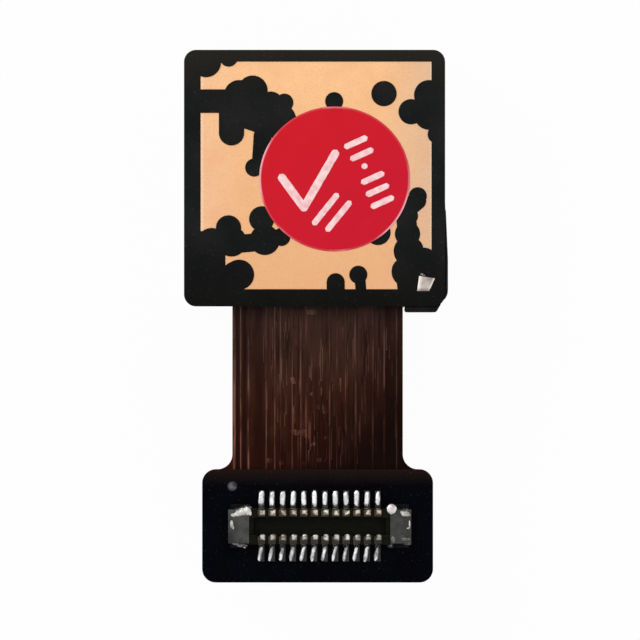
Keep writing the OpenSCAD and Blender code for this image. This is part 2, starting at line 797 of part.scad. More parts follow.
// The solid end of the housing, under a hold-down clip
module end_block() {
    translate([body_l / 2 - 0.12, -wall_in - 0.01, 0])
        cube([0.12, 2 * wall_in + 0.02, wall_h]);
    translate([body_l / 2 - e, -end_block_half, 0])
        cube([end_block_l + e, 2 * end_block_half, end_block_h]);
}

// One formed contact, seen along the row: inner leg, round top, outer leg and soldered tail
module contact_head_2d() {
    arch_y = wall_in + wall_t / 2;
    difference() {
        union() {
            translate([arch_y, wall_h]) circle(arch_r);
            translate([arch_y - arch_r, floor_t + 0.03]) square([2 * arch_r, wall_h - floor_t - 0.03]);
        }
        translate([arch_y, wall_h]) circle(wall_t / 2);
        translate([wall_in, 0]) square([wall_t, wall_h]);
    }
}

module contact_tail_2d() {
    translate([wall_out, copper_t]) square([contact_t, floor_t + 0.1]);
    translate([wall_out, copper_t]) square([contact_reach - wall_out, contact_t]);
}

module contact_row() {
    for_each_contact() rotate([90, 0, 90]) {
        linear_extrude(contact_head_w, center = true) contact_head_2d();
        linear_extrude(contact_tail_w, center = true) contact_tail_2d();
    }
}

module contact_row_upper() {
    color("lightgray") at_plug() contact_row();
}

module contact_row_lower() {
    color("lightgray") at_plug() mirror([0, 1, 0]) contact_row();
}

// A sheet clip over the end of the housing, with a foot at each side and one at the end
module hold_down(end) {
    top_z = end_block_h + seat_gap;
    color("gray") at_plug() mirror([end, 0, 0]) {
        translate([clip_x, -clip_half, top_z]) cube([clip_w + clip_t, 2 * clip_half, clip_t]);
        translate([clip_x + clip_w, -clip_half + 0.15, copper_t])
            cube([clip_t, 2 * clip_half - 0.3, top_z - copper_t + clip_t]);
        for (side = [0, 1]) mirror([0, side, 0]) {
            translate([clip_x + 0.05, clip_half - clip_t, copper_t])
                cube([clip_w - 0.05, clip_t, top_z - copper_t + clip_t]);
            translate([clip_x + 0.05, clip_half - clip_t, copper_t])
                cube([clip_w - 0.05, clip_t + clip_foot, clip_t]);
        }
    }
}

shield_can();
front_spacer();
front_leaf_spring();
for (i = [1:4]) corner_magnet(i);
focus_coil();
lens_carrier();
lens_barrel();
for (i = [1:5]) lens_element(i - 1);
for (i = [1:4]) lens_ring(i);
lens_retainer();
rear_leaf_spring(-1);  // rear_leaf_spring_left
rear_leaf_spring(1);  // rear_leaf_spring_right
actuator_base();
for (i = [1:2]) terminal(terminal_xs[i - 1]);
terminal_glue();
sensor_holder();
infrared_filter();
image_sensor();
for (i = [1:4]) chip_capacitor(i);
driver_chip();
memory_chip();
head_board_front();
flex_circuit();
head_board_rear();
ground_plane();
solder_mask();
corner_pad();
inspection_sticker();
connector_board();
connector_stiffener();
pin_one_dot();
connector_pads();
connector_housing();
contact_row_upper();
contact_row_lower();
hold_down(1);  // hold_down_left
hold_down(0);  // hold_down_right
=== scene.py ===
import math
import random

import bpy
from mathutils import Matrix, Vector, noise
from mathutils.bvhtree import BVHTree
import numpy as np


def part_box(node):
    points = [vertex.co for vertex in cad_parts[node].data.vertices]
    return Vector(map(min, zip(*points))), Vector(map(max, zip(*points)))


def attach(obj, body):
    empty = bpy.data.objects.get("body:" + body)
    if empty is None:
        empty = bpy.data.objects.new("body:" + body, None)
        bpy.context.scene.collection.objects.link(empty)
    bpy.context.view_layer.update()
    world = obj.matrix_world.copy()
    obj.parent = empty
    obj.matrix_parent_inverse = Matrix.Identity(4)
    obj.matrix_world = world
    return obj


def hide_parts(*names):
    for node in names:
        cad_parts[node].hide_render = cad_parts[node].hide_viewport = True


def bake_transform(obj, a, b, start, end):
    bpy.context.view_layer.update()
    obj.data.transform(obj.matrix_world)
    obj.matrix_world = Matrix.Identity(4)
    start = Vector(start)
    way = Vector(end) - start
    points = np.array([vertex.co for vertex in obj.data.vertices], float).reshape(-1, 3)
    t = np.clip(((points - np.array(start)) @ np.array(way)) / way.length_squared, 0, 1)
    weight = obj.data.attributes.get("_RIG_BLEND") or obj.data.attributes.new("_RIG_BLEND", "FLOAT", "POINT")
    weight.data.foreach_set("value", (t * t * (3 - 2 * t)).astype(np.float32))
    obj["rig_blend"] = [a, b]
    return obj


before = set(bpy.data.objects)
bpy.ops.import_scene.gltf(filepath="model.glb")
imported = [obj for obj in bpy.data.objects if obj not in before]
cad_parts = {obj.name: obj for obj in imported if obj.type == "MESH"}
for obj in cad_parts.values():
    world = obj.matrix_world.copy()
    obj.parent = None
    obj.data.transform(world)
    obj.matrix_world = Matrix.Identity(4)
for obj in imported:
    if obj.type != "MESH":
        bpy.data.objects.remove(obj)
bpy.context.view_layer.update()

bpy.context.scene.view_settings.view_transform = "Standard"


# ---------------------------------------------------------------- table, light and camera
# The module lies lens down on a white table, in the even light of a white tent. A soft lamp
# at the upper left adds the small highlights. The camera looks straight down.

def node(tree, kind, inputs=(), **settings):
    """Adds a node; an input's value is either a constant or another node's socket."""
    made = tree.nodes.new(kind)
    for name, value in settings.items():
        setattr(made, name, value)
    for name, value in dict(inputs).items():
        if isinstance(value, bpy.types.NodeSocket):
            tree.links.new(value, made.inputs[name])
        else:
            made.inputs[name].default_value = value
    return made


def maths(tree, operation, *values):
    """The result of one sum, on numbers or on other nodes' sockets."""
    return node(tree, "ShaderNodeMath", enumerate(values), operation=operation).outputs[0]


def seen_directly(tree):
    """1 for rays from the camera, from a gloss or through glass, and 0 for diffuse light."""
    path = node(tree, "ShaderNodeLightPath").outputs
    seen = maths(tree, "MAXIMUM", path["Is Camera Ray"], path["Is Glossy Ray"])
    return maths(tree, "MAXIMUM", seen, path["Is Transmission Ray"])


def either(tree, share, first, second):
    """Two shaders mixed; the share is the second one's."""
    return node(tree, "ShaderNodeMixShader", {0: share, 1: first.outputs[0], 2: second.outputs[0]})


def light_tent(diffuse_level):
    """White all round to look at, and a level of its own for the light that it gives."""
    world = bpy.data.worlds.new("light_tent")
    world.use_nodes = True
    tree = world.node_tree
    tree.nodes.clear()
    given, seen = (node(tree, "ShaderNodeBackground", {"Color": (1, 1, 1, 1), "Strength": strength})
                   for strength in (diffuse_level, 1.0))
    node(tree, "ShaderNodeOutputWorld", {"Surface": either(tree, seen_directly(tree), given, seen).outputs[0]})
    bpy.context.scene.world = world


def added(name, data):
    """A new object in the scene, at the origin."""
    made = bpy.data.objects.new(name, data)
    bpy.context.scene.collection.objects.link(made)
    return made


def white_table(size, height, own_light):
    """A plain white table, whose own light leaves only a part of the object's shadow on it.

    From below it is clear, so that the lens side can be looked at too."""
    half = size / 2
    mesh = bpy.data.meshes.new("table")
    mesh.from_pydata([(-half, -half, height), (half, -half, height), (half, half, height), (-half, half, height)],
                     [], [(0, 1, 2, 3)])
    material = bpy.data.materials.new("white_table")
    material.use_nodes = True
    tree = material.node_tree
    tree.nodes.clear()
    paper = node(tree, "ShaderNodeBsdfDiffuse", {"Color": (0.9, 0.9, 0.9, 1)})
    glow = node(tree, "ShaderNodeEmission", {"Color": (1, 1, 1, 1), "Strength": 1.0})
    top = either(tree, maths(tree, "MULTIPLY", seen_directly(tree), own_light), paper, glow)
    underneath = node(tree, "ShaderNodeNewGeometry").outputs["Backfacing"]
    both = either(tree, underneath, top, node(tree, "ShaderNodeBsdfTransparent"))
    node(tree, "ShaderNodeOutputMaterial", {"Surface": both.outputs[0]})
    mesh.materials.append(material)
    added("table", mesh)


def soft_lamp(name, place, target, size, level):
    """A square lamp whose face is level times as bright as white."""
    lamp = bpy.data.lights.new(name, "AREA")
    lamp.size = size
    lamp.energy = level * math.pi * size ** 2
    holder = added(name, lamp)
    holder.location = place
    holder.rotation_euler = (Vector(target) - Vector(place)).to_track_quat("-Z", "Y").to_euler()


def camera_above(aim, height, view_width):
    """A camera that looks straight down and takes in the view's width at the height of its aim."""
    lens = bpy.data.cameras.new("camera")
    lens.sensor_width = 36
    lens.lens = lens.sensor_width * height / view_width
    lens.clip_start, lens.clip_end = 0.01, 10
    camera = added("camera", lens)
    camera.location = (aim[0], aim[1], aim[2] + height)
    bpy.context.scene.camera = camera


light_tent(diffuse_level=0.8)
white_table(size=3.0, height=-0.00003, own_light=0.95)
soft_lamp("key_lamp", place=(-0.17, 0.17, 0.24), target=(0, -0.005, 0), size=0.2, level=2.2)
camera_above(aim=(0.00018, -0.0047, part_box("solder_mask")[1].z), height=0.2, view_width=0.0212)


# ---------------------------------------------------------------- shield can
# The can is drawn from thin steel sheet and plated with nickel: a fine drawn grain runs up its
# walls, the front face is slightly dimpled, and the plating is a little duller in patches.

def shade(red, green, blue):
    """The linear colour of a screen colour that is given from 0 to 255."""
    def linear(value):
        value /= 255
        return value / 12.92 if value <= 0.04045 else ((value + 0.055) / 1.055) ** 2.4
    return (linear(red), linear(green), linear(blue), 1.0)


def millimetres(tree, centre=(0, 0, 0)):
    """Where a point of the surface lies, in millimetres from the centre, which is in metres."""
    place = node(tree, "ShaderNodeTexCoord").outputs["Object"]
    return node(tree, "ShaderNodeMapping", {
        "Vector": place, "Scale": (1000, 1000, 1000), "Location": [-1000 * c for c in centre]}).outputs[0]


def finish(name, colour, roughness, metallic=0.0, specular=0.5, centre=(0, 0, 0), more=()):
    """A new material; returns it with its node tree, its shader and its millimetres from the centre."""
    material = bpy.data.materials.new(name)
    material.use_nodes = True
    tree = material.node_tree
    shader = tree.nodes["Principled BSDF"]
    constants = {"Base Color": colour, "Roughness": roughness, "Metallic": metallic, "Specular IOR Level": specular}
    for socket, value in {**constants, **dict(more)}.items():
        shader.inputs[socket].default_value = value
    return material, tree, shader, millimetres(tree, centre)


def grain(tree, where, per_mm, stretch=(1, 1, 1), detail=3.0):
    """Noise from 0 to 1 with so many features to a millimetre, fewer along a stretched axis."""
    drawn = node(tree, "ShaderNodeMapping", {"Vector": where, "Scale": stretch}).outputs[0]
    return node(tree, "ShaderNodeTexNoise", {"Vector": drawn, "Scale": per_mm, "Detail": detail}).outputs["Fac"]


def ramp(tree, value, stops):
    """A colour that runs through the stops in their order; each is a value and a colour."""
    made = node(tree, "ShaderNodeValToRGB", {"Fac": value})
    elements = made.color_ramp.elements
    for _ in stops[2:]:
        elements.new(1.0)
    for element, (place, colour) in zip(elements, stops):
        element.position, element.color = place, colour
    return made.outputs["Color"]


def run(tree, value, low, high, start, end):
    """A colour that runs from start to end while the value runs from low to high."""
    return ramp(tree, value, ((low, start), (high, end)))


def level(tree, value, low, high, start, end):
    """A number that runs from start to end while the value runs from low to high."""
    return node(tree, "ShaderNodeMapRange", {
        "Value": value, "From Min": low, "From Max": high, "To Min": start, "To Max": end}).outputs[0]


def mixed(tree, share, first, second):
    """Two colours mixed; the share is the second one's."""
    mix = node(tree, "ShaderNodeMix", data_type="RGBA")
    for socket, value in zip((mix.inputs[0], mix.inputs[6], mix.inputs[7]), (share, first, second)):
        if isinstance(value, bpy.types.NodeSocket):
            tree.links.new(value, socket)
        else:
            socket.default_value = value
    return mix.outputs[2]


def relief(tree, shader, height, depth_mm, under=None):
    """Fine relief, as deep as depth_mm; under is the normal of a coarser one beneath it."""
    inputs = {"Height": height, "Distance": depth_mm / 1000, "Strength": 1.0}
    if under:
        inputs["Normal"] = under
    bump = node(tree, "ShaderNodeBump", inputs).outputs["Normal"]
    tree.links.new(bump, shader.inputs["Normal"])
    return bump


def paint(tree, shader, colour, skin=None, smooth=0.0, rough=0.0):
    """Gives a shader its colour and, where there is a skin of noise, a roughness that follows it."""
    tree.links.new(colour, shader.inputs["Base Color"])
    if skin:
        tree.links.new(level(tree, skin, 0.3, 0.7, smooth, rough), shader.inputs["Roughness"])


def dress(material, *nodes):
    """Gives CAD nodes their finish; their shape stays as it is."""
    for name in nodes:
        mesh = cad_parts[name].data
        mesh.materials.clear()
        mesh.materials.append(material)


def plated_steel():
    material, tree, shader, where = finish("plated_steel", shade(192, 190, 186), 0.3, metallic=1.0)
    cloud = grain(tree, where, 0.7)
    drawn = grain(tree, where, 14, stretch=(1, 1, 0.08))
    paint(tree, shader, run(tree, cloud, 0.35, 0.7, shade(187, 185, 180), shade(196, 195, 191)), drawn, 0.28, 0.38)
    dimples = relief(tree, shader, grain(tree, where, 1.6), 0.0015)
    relief(tree, shader, drawn, 0.0001, dimples)
    return material


dress(plated_steel(), "shield_can")


# ---------------------------------------------------------------- moulded frames of the actuator
# The base, the spacer, the lens carrier and the sensor holder are moulded from black plastic
# with mineral filler: matt, finely grained, with paler specks of filler at the surface.

def moulded_black(name, tone, per_mm, depth_mm):
    material, tree, shader, where = finish(name, (tone, tone, tone * 1.04, 1), 0.55, specular=0.3)
    skin = grain(tree, where, per_mm, detail=5)
    specks = level(tree, grain(tree, where, 26, detail=2), 0.68, 0.74, 0, 0.35)
    dark, pale = (tone * 0.75, tone * 0.75, tone * 0.8, 1), (tone * 1.3, tone * 1.3, tone * 1.3, 1)
    paint(tree, shader, mixed(tree, specks, run(tree, skin, 0.35, 0.7, dark, pale), shade(88, 88, 86)),
          skin, 0.46, 0.66)
    relief(tree, shader, skin, depth_mm)
    return material


dress(moulded_black("frame_plastic", 0.026, 6, 0.003), "front_spacer", "lens_carrier")
dress(moulded_black("base_plastic", 0.03, 5, 0.004), "actuator_base", "sensor_holder")


# ---------------------------------------------------------------- lens barrel and lenses
# The barrel is turned smooth on its outside and has fine steps on its flare, which stop stray
# light. The five elements are moulded plastic with a purple and green coating.

def from_axis(tree, where, squash=1.0):
    """How far a point lies from the Z axis, where circles may be squashed along Y."""
    flat = node(tree, "ShaderNodeVectorMath", {0: where, 1: (1, 1 / squash, 0)}, operation="MULTIPLY").outputs[0]
    return node(tree, "ShaderNodeVectorMath", {0: flat}, operation="LENGTH").outputs["Value"]


def ripples(tree, value, pitch):
    """A wave from -1 to 1 that comes back at each pitch."""
    return maths(tree, "SINE", maths(tree, "MULTIPLY", value, 2 * math.pi / pitch))


def stepped_black(step_mm):
    material, tree, shader, where = finish("stepped_black", shade(24, 24, 26), 0.5, specular=0.25)
    skin = grain(tree, where, 12)
    paint(tree, shader, run(tree, skin, 0.35, 0.7, shade(18, 18, 20), shade(32, 32, 35)), skin, 0.4, 0.6)
    steps = relief(tree, shader, ripples(tree, from_axis(tree, where), step_mm), 0.005)
    relief(tree, shader, skin, 0.0015, steps)
    return material


def coated_lens(name, coating, clear):
    """Painted shade makes it dark, where light is lost in the stack behind, and its base runs from purple at the
    middle to green at the rim as a painted coating reflection; the coating also tints what the surface mirrors.
    """
    material, tree, shader, where = finish(name, (0.02, 0.02, 0.03, 1), 0.04, specular=0.9, more={
        "Transmission Weight": clear, "IOR": 1.53, "Specular Tint": coating,
        "Coat Weight": 0.6, "Coat Tint": (0.9, 0.93, 1.0, 1)})
    # Painted reflection of the coating: purple at the middle, green towards the rim
    out = level(tree, from_axis(tree, where), 0.2, 1.6, 0, 1)
    paint(tree, shader, run(tree, out, 0, 1, (0.05, 0.02, 0.12, 1), (0.01, 0.05, 0.05, 1)))
    relief(tree, shader, grain(tree, where, 1.2), 0.0002)
    return material


def black_film():
    material, tree, shader, where = finish("black_film", shade(14, 14, 15), 0.7, specular=0.15)
    skin = grain(tree, where, 20)
    paint(tree, shader, run(tree, skin, 0.3, 0.7, shade(10, 10, 11), shade(22, 22, 23)))
    relief(tree, shader, skin, 0.001)
    return material


def in_metres(mesh):
    """Meshes are made in millimetres, because merging and remeshing work badly at a metre's scale."""
    mesh.transform(Matrix.Scale(0.001, 4))
    return mesh


def place(name, mesh, material, slot, body="housing"):
    """Puts a finished mesh in the scene as a smooth piece that rides on a body."""
    for polygon in mesh.polygons:
        polygon.use_smooth = True
    if not mesh.materials:
        mesh.materials.append(material)
    piece = added(name, mesh)
    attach(piece, body)
    return piece


def evaluated(holder):
    """The mesh that an object's modifiers make; the object itself is deleted."""
    bpy.context.view_layer.update()
    depsgraph = bpy.context.evaluated_depsgraph_get()
    mesh = bpy.data.meshes.new_from_object(holder.evaluated_get(depsgraph), depsgraph=depsgraph)
    holder.modifiers.clear()
    bpy.data.objects.remove(holder)
    return mesh


def welded(source, merge_mm):
    """A bare copy of a CAD node in millimetres, with its loose triangles merged by a modifier."""
    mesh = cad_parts[source].data.copy()
    mesh.transform(Matrix.Scale(1000, 4))
    mesh.materials.clear()
    holder = added(source + "_copy", mesh)
    holder.modifiers.new("weld", "WELD").merge_threshold = merge_mm
    return holder


def merged_copy(source, sharp_degrees):
    """A CAD node's shape in one piece, sharp only at its real edges."""
    mesh = evaluated(welded(source, 0.0005))
    mesh.set_sharp_from_angle(angle=math.radians(sharp_degrees))
    return mesh


dress(stepped_black(0.09), "lens_barrel", "lens_retainer")
front_lens = place("front_lens", in_metres(merged_copy("lens_element_1", 35)),
                   coated_lens("front_coating", (0.72, 0.55, 1.0, 1), 0.12), "lens_clear", body="lens_body")
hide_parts("lens_element_1")
dress(coated_lens("inner_coating", (0.72, 0.75, 1.0, 1), 0.4), "lens_element_2", "lens_element_3")
dress(coated_lens("rear_coating", (0.6, 1.0, 0.75, 1), 0.4), "lens_element_4", "lens_element_5")
dress(black_film(), *["lens_ring_%d" % number for number in range(1, 5)])


# ---------------------------------------------------------------- coil, magnets and leaf springs
# The coil is enamelled copper wire, wound in level turns round the carrier. The magnets are
# nickel-plated. The springs are etched from a thin sheet of copper alloy and bend with the lens.

def axis(tree, where, name):
    """One of the three coordinates of a point."""
    return node(tree, "ShaderNodeSeparateXYZ", {"Vector": where}).outputs[name]


def wound_copper(wire_mm):
    material, tree, shader, where = finish("wound_copper", shade(168, 92, 48), 0.32, metallic=0.9)
    rounds = ripples(tree, axis(tree, where, "Z"), wire_mm)
    # Painted shade in the grooves between the turns and painted highlights on their crests, following the same ripples
    # as the relief
    tone = run(tree, level(tree, rounds, -1, 1, 0, 1), 0, 0.6, shade(74, 32, 14), shade(186, 104, 56))
    paint(tree, shader, tone, grain(tree, where, 3), 0.25, 0.42)
    relief(tree, shader, rounds, 0.012)
    return material


def nickel_plate():
    material, tree, shader, where = finish("nickel_plate", shade(178, 176, 172), 0.22, metallic=1.0)
    skin = grain(tree, where, 9, detail=5)
    tone = run(tree, grain(tree, where, 1.5), 0.35, 0.7, shade(160, 158, 156), shade(192, 191, 188))
    paint(tree, shader, tone, skin, 0.15, 0.34)
    relief(tree, shader, skin, 0.002)
    return material


def etched_bronze():
    material, tree, shader, where = finish("etched_bronze", shade(214, 172, 118), 0.34, metallic=1.0)
    rolled = grain(tree, where, 16, stretch=(0.1, 1, 1))
    tone = run(tree, grain(tree, where, 2), 0.35, 0.7, shade(196, 150, 96), shade(228, 190, 140))
    paint(tree, shader, tone, rolled, 0.26, 0.44)
    relief(tree, shader, rolled, 0.001)
    return material


def flexing_spring(source, material, ring_edge, arm_edge, arm_degrees):
    """A leaf spring that bends with the lens: its ring goes along, its corner plates stay.

    Each arm leaves its plate on a diagonal and joins the ring arm_degrees further round."""
    mesh = merged_copy(source, 30)
    diagonal, quarter, plate_half = 45, 90, 2
    shares = []
    for vertex in mesh.vertices:
        radius = vertex.co.xy.length
        turn = math.degrees(math.atan2(vertex.co.y, vertex.co.x)) - diagonal
        along = min(max(((turn + plate_half) % quarter - plate_half) / arm_degrees, 0), 1)
        shares.append(1.0 if radius < ring_edge else 0.0 if radius > arm_edge else along * along * (3 - 2 * along))
    for polygon in mesh.polygons:
        polygon.use_smooth = True
    mesh.materials.append(material)
    spring = added(source + "_flexing", in_metres(mesh))
    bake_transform(spring, "housing", "lens_body", (0, 0, 0), (0, 0, -1))
    mesh.attributes["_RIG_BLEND"].data.foreach_set("value", shares)
    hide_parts(source)


dress(wound_copper(0.05), "focus_coil")
dress(nickel_plate(), *["corner_magnet_%d" % number for number in range(1, 5)])
barrel_radius = 1000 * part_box("lens_barrel")[1].x
spring_sheet = etched_bronze()
for source in ("front_leaf_spring", "rear_leaf_spring_left", "rear_leaf_spring_right"):
    flexing_spring(source, spring_sheet, barrel_radius + 0.3, barrel_radius + 0.55, arm_degrees=34)


# ---------------------------------------------------------------- filter, sensor and small parts
# Behind the lens lie a blue glass filter, the bare silicon sensor with its fine field of cells,
# four ceramic capacitors with tinned ends, and two bare chips.

def blue_glass():
    material, tree, shader, where = finish("blue_glass", (0.62, 0.87, 0.9, 1), 0.02, specular=0.6, more={
        "Transmission Weight": 1.0, "IOR": 1.52, "Specular Tint": (1.0, 0.55, 0.6, 1)})
    relief(tree, shader, grain(tree, where, 0.8), 0.0002)
    return material


def silicon_die(name, tone, cell_mm):
    """Polished silicon, ruled with a field of fine cells."""
    material, tree, shader, where = finish(name, tone, 0.18, metallic=0.6)
    cells = node(tree, "ShaderNodeTexBrick", {
        "Vector": where, "Color1": tone, "Color2": (tone[0] * 1.5, tone[1] * 1.3, tone[2] * 1.4, 1),
        "Mortar": (tone[0] * 0.5, tone[1] * 0.5, tone[2] * 0.6, 1), "Scale": 1.0, "Mortar Size": cell_mm * 0.08,
        "Brick Width": cell_mm, "Row Height": cell_mm}, offset=0.0).outputs
    paint(tree, shader, cells["Color"], grain(tree, where, 4), 0.12, 0.26)
    relief(tree, shader, cells["Fac"], 0.0008)
    return material


def tinned_ceramic():
    """Brown fired ceramic in the middle, tin at both ends: the finish follows the capacitors' pitch."""
    left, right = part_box("chip_capacitor_1")
    pitch = 1000 * (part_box("chip_capacitor_2")[0].x - left.x)
    material, tree, shader, where = finish("tinned_ceramic", shade(148, 116, 84), 0.5,
                                           centre=((left.x + right.x) / 2, 0, 0))
    from_middle = maths(tree, "PINGPONG", axis(tree, where, "X"), pitch)
    end = level(tree, from_middle, 0.13, 0.16, 0, 1)
    skin = grain(tree, where, 14)
    ceramic = run(tree, skin, 0.3, 0.7, shade(128, 96, 66), shade(160, 128, 96))
    paint(tree, shader, mixed(tree, end, ceramic, shade(196, 194, 190)), skin, 0.35, 0.55)
    tree.links.new(end, shader.inputs["Metallic"])
    relief(tree, shader, skin, 0.002)
    return material


dress(blue_glass(), "infrared_filter")
dress(silicon_die("sensor_silicon", (0.1, 0.08, 0.14, 1), 0.11), "image_sensor")
dress(silicon_die("chip_silicon", (0.03, 0.032, 0.038, 1), 0.4), "driver_chip", "memory_chip")
dress(tinned_ceramic(), *["chip_capacitor_%d" % number for number in range(1, 5)])


# ---------------------------------------------------------------- rigid layers of the head board
# Glass cloth in black epoxy: where the layers are cut at the board's edge, the cloth shows as
# thin paler plies, and the front layer has a dark green mask.

def cut_laminate(name, dark, pale):
    material, tree, shader, where = finish(name, dark, 0.6, specular=0.25)
    plies = grain(tree, where, 22, stretch=(0.06, 0.06, 1.6))
    cloth = level(tree, grain(tree, where, 9), 0.35, 0.7, 0.2, 1)
    paint(tree, shader, mixed(tree, cloth, dark, run(tree, plies, 0.45, 0.6, dark, pale)), plies, 0.48, 0.7)
    relief(tree, shader, plies, 0.004)
    return material


dress(cut_laminate("black_laminate", shade(27, 27, 28), shade(62, 58, 50)), "head_board_rear")
dress(cut_laminate("green_laminate", shade(20, 34, 27), shade(70, 74, 56)), "head_board_front")


# ---------------------------------------------------------------- gold plane
# The copper plane behind the sensor is plated with nickel and a flash of gold. It is satin with a fine
# grain. Painted light makes it yellower at the top of the window and duller at its sides, and painted highlights make
# it pale at its rims.

WINDOW_LEFT, WINDOW_RIGHT = -3.74, 3.89


def satin_gold():
    material, tree, shader, where = finish("satin_gold", shade(240, 186, 138), 0.36, metallic=1.0)
    across = axis(tree, where, "X")
    # Painted light: lighter and yellower towards the top of the window, where the light falls
    tone = run(tree, level(tree, axis(tree, where, "Y"), -4, 4, 0, 1), 0.1, 0.95,
               shade(232, 177, 130), shade(247, 195, 144))
    # Painted light: duller towards the right side and paler towards the left
    for painted_light_from, wear_and_painted_light, share, tint in ((2.2, 3.9, 0.75, (216, 184, 156)), (-2.4, -3.9, 0.6, (240, 194, 156))):
        tone = mixed(tree, level(tree, across, painted_light_from, wear_and_painted_light, 0, share), tone, shade(*tint))
    clouds = level(tree, grain(tree, where, 0.9, detail=4), 0.42, 0.72, 0, 0.35)
    tone = mixed(tree, clouds, tone, shade(232, 170, 124))
    # Painted highlights along the left and right rims of the window
    for rim, inside in ((WINDOW_LEFT, WINDOW_LEFT + 0.08), (WINDOW_RIGHT, WINDOW_RIGHT - 0.09)):
        tone = mixed(tree, level(tree, across, rim, inside, 0.5, 0), tone, shade(252, 226, 198))
    fine = grain(tree, where, 17, detail=4)
    tone = mixed(tree, level(tree, fine, 0.5, 0.78, 0, 0.4), tone, shade(206, 146, 98))
    paint(tree, shader, tone, grain(tree, where, 3), 0.3, 0.46)
    relief(tree, shader, fine, 0.0011, relief(tree, shader, grain(tree, where, 2.2), 0.004))
    return material


dress(satin_gold(), "ground_plane", "connector_pads")


# ---------------------------------------------------------------- black solder mask
# A printed and cured coat over the copper: satin black with a slight orange peel and a fine dust of
# paler specks. Painted light makes it warmer at the head's top, and painted shade makes it darker at its bottom.

def black_mask(name, dark, pale, specular, tints):
    """Each tint comes in from one height along the module to another."""
    material, tree, shader, where = finish(name, dark, 0.42, specular=specular)
    peel = grain(tree, where, 7)
    coat = run(tree, grain(tree, where, 0.8, detail=4), 0.36, 0.66, dark, pale)
    for tint, absent, full in tints:
        coat = mixed(tree, level(tree, axis(tree, where, "Y"), absent, full, 0, 0.85), coat, tint)
    specks = level(tree, grain(tree, where, 19, detail=1), 0.7, 0.76, 0, 0.3)
    paint(tree, shader, mixed(tree, specks, coat, shade(84, 82, 78)), peel, 0.34, 0.52)
    relief(tree, shader, peel, 0.0035)
    return material


# Painted light: a warmer, lighter tint at the head's top, and painted shade at its bottom
dress(black_mask("head_mask", shade(17, 19, 19), shade(27, 28, 27), 0.055,
                 [(shade(38, 34, 29), 2.9, 4.3), (shade(5, 4, 3), -1.5, -4.3)]), "solder_mask")


# ---------------------------------------------------------------- corner pad
# A bare copper pad at the lower right of the head, tinned by hand: a thin uneven skin of
# solder with scratches, and one small bead that ran off its upper edge onto the mask.

def tin_skin(name, bright, dull, roughness):
    material, tree, shader, where = finish(name, bright, roughness, metallic=1.0)
    clouds = grain(tree, where, 5, detail=4)
    scratches = grain(tree, where, 24, stretch=(1, 0.22, 1))
    paint(tree, shader, run(tree, clouds, 0.36, 0.66, dull, bright), scratches, roughness - 0.1, roughness + 0.16)
    relief(tree, shader, scratches, 0.003, relief(tree, shader, clouds, 0.01))
    return material


def hand_tinned(low, high):
    """The pad's skin stands up along its two slanting sides, shown by painted highlights, and falls away at its ends,
    shown by painted shade at its upper right and its bottom.
    """
    material, tree, shader, where = finish("pad_tin", shade(204, 194, 184), 0.34, metallic=1.0)
    along = axis(tree, where, "Y")
    clouds = grain(tree, where, 5, detail=4)
    scratches = grain(tree, where, 24, stretch=(1, 0.22, 1))

    def inwards(foot, slant, sign):
        """The distance in from a side that starts at the foot on the bottom edge and slants right as it rises."""
        back = maths(tree, "MULTIPLY_ADD", along, -slant, slant * low.y - foot)
        return maths(tree, "MULTIPLY", maths(tree, "ADD", axis(tree, where, "X"), back), sign)

    left, right = inwards(low.x, 0.14, 1), inwards(high.x - 0.19, 0.452, -1)
    # Painted shade where the skin falls away at the upper right and at the bottom end
    hollow_shade = maths(tree, "MULTIPLY", level(tree, right, 0.34, 0.2, 0, 1),
                   level(tree, along, high.y - 0.24, high.y - 0.1, 0, 0.8))
    bottom = level(tree, along, low.y + 0.12, low.y, 0, 0.8)
    tone = run(tree, clouds, 0.36, 0.66, shade(168, 158, 150), shade(200, 190, 182))
    # Painted shade at the upper right and the bottom, and painted highlights along the left and right sides
    for share, tint in ((hollow_shade, (140, 122, 126)), (level(tree, left, 0.03, 0.13, 0.9, 0), (250, 243, 234)),
                        (level(tree, right, 0.02, 0.08, 0.8, 0), (236, 226, 217)), (bottom, (104, 96, 88))):
        tone = mixed(tree, share, tone, shade(*tint))
    paint(tree, shader, tone, scratches, 0.24, 0.5)
    relief(tree, shader, scratches, 0.003, relief(tree, shader, clouds, 0.01))
    return material


def ring_faces(rings, spokes):
    """Faces of a closed shape that is a top point, rings of points below it, and a bottom point."""
    faces = [(0, 1 + spoke, 1 + (spoke + 1) % spokes) for spoke in range(spokes)]
    for ring in range(rings - 1):
        first, below = 1 + ring * spokes, 1 + (ring + 1) * spokes
        for spoke in range(spokes):
            beside = (spoke + 1) % spokes
            faces.append((first + spoke, below + spoke, below + beside, first + beside))
    last = 1 + (rings - 1) * spokes
    return faces + [(last + (spoke + 1) % spokes, last + spoke, last + spokes) for spoke in range(spokes)]


def ball_points(centre, radii, rings, spokes):
    """Points of one round lump, from its top down."""
    points = [centre + Vector((0, 0, radii[2]))]
    for ring in range(1, rings + 1):
        polar = math.pi * ring / (rings + 1)
        for spoke in range(spokes):
            turn = 2 * math.pi * spoke / spokes
            points.append(centre + Vector((radii[0] * math.sin(polar) * math.cos(turn),
                                           radii[1] * math.sin(polar) * math.sin(turn),
                                           radii[2] * math.cos(polar))))
    return points + [centre - Vector((0, 0, radii[2]))]


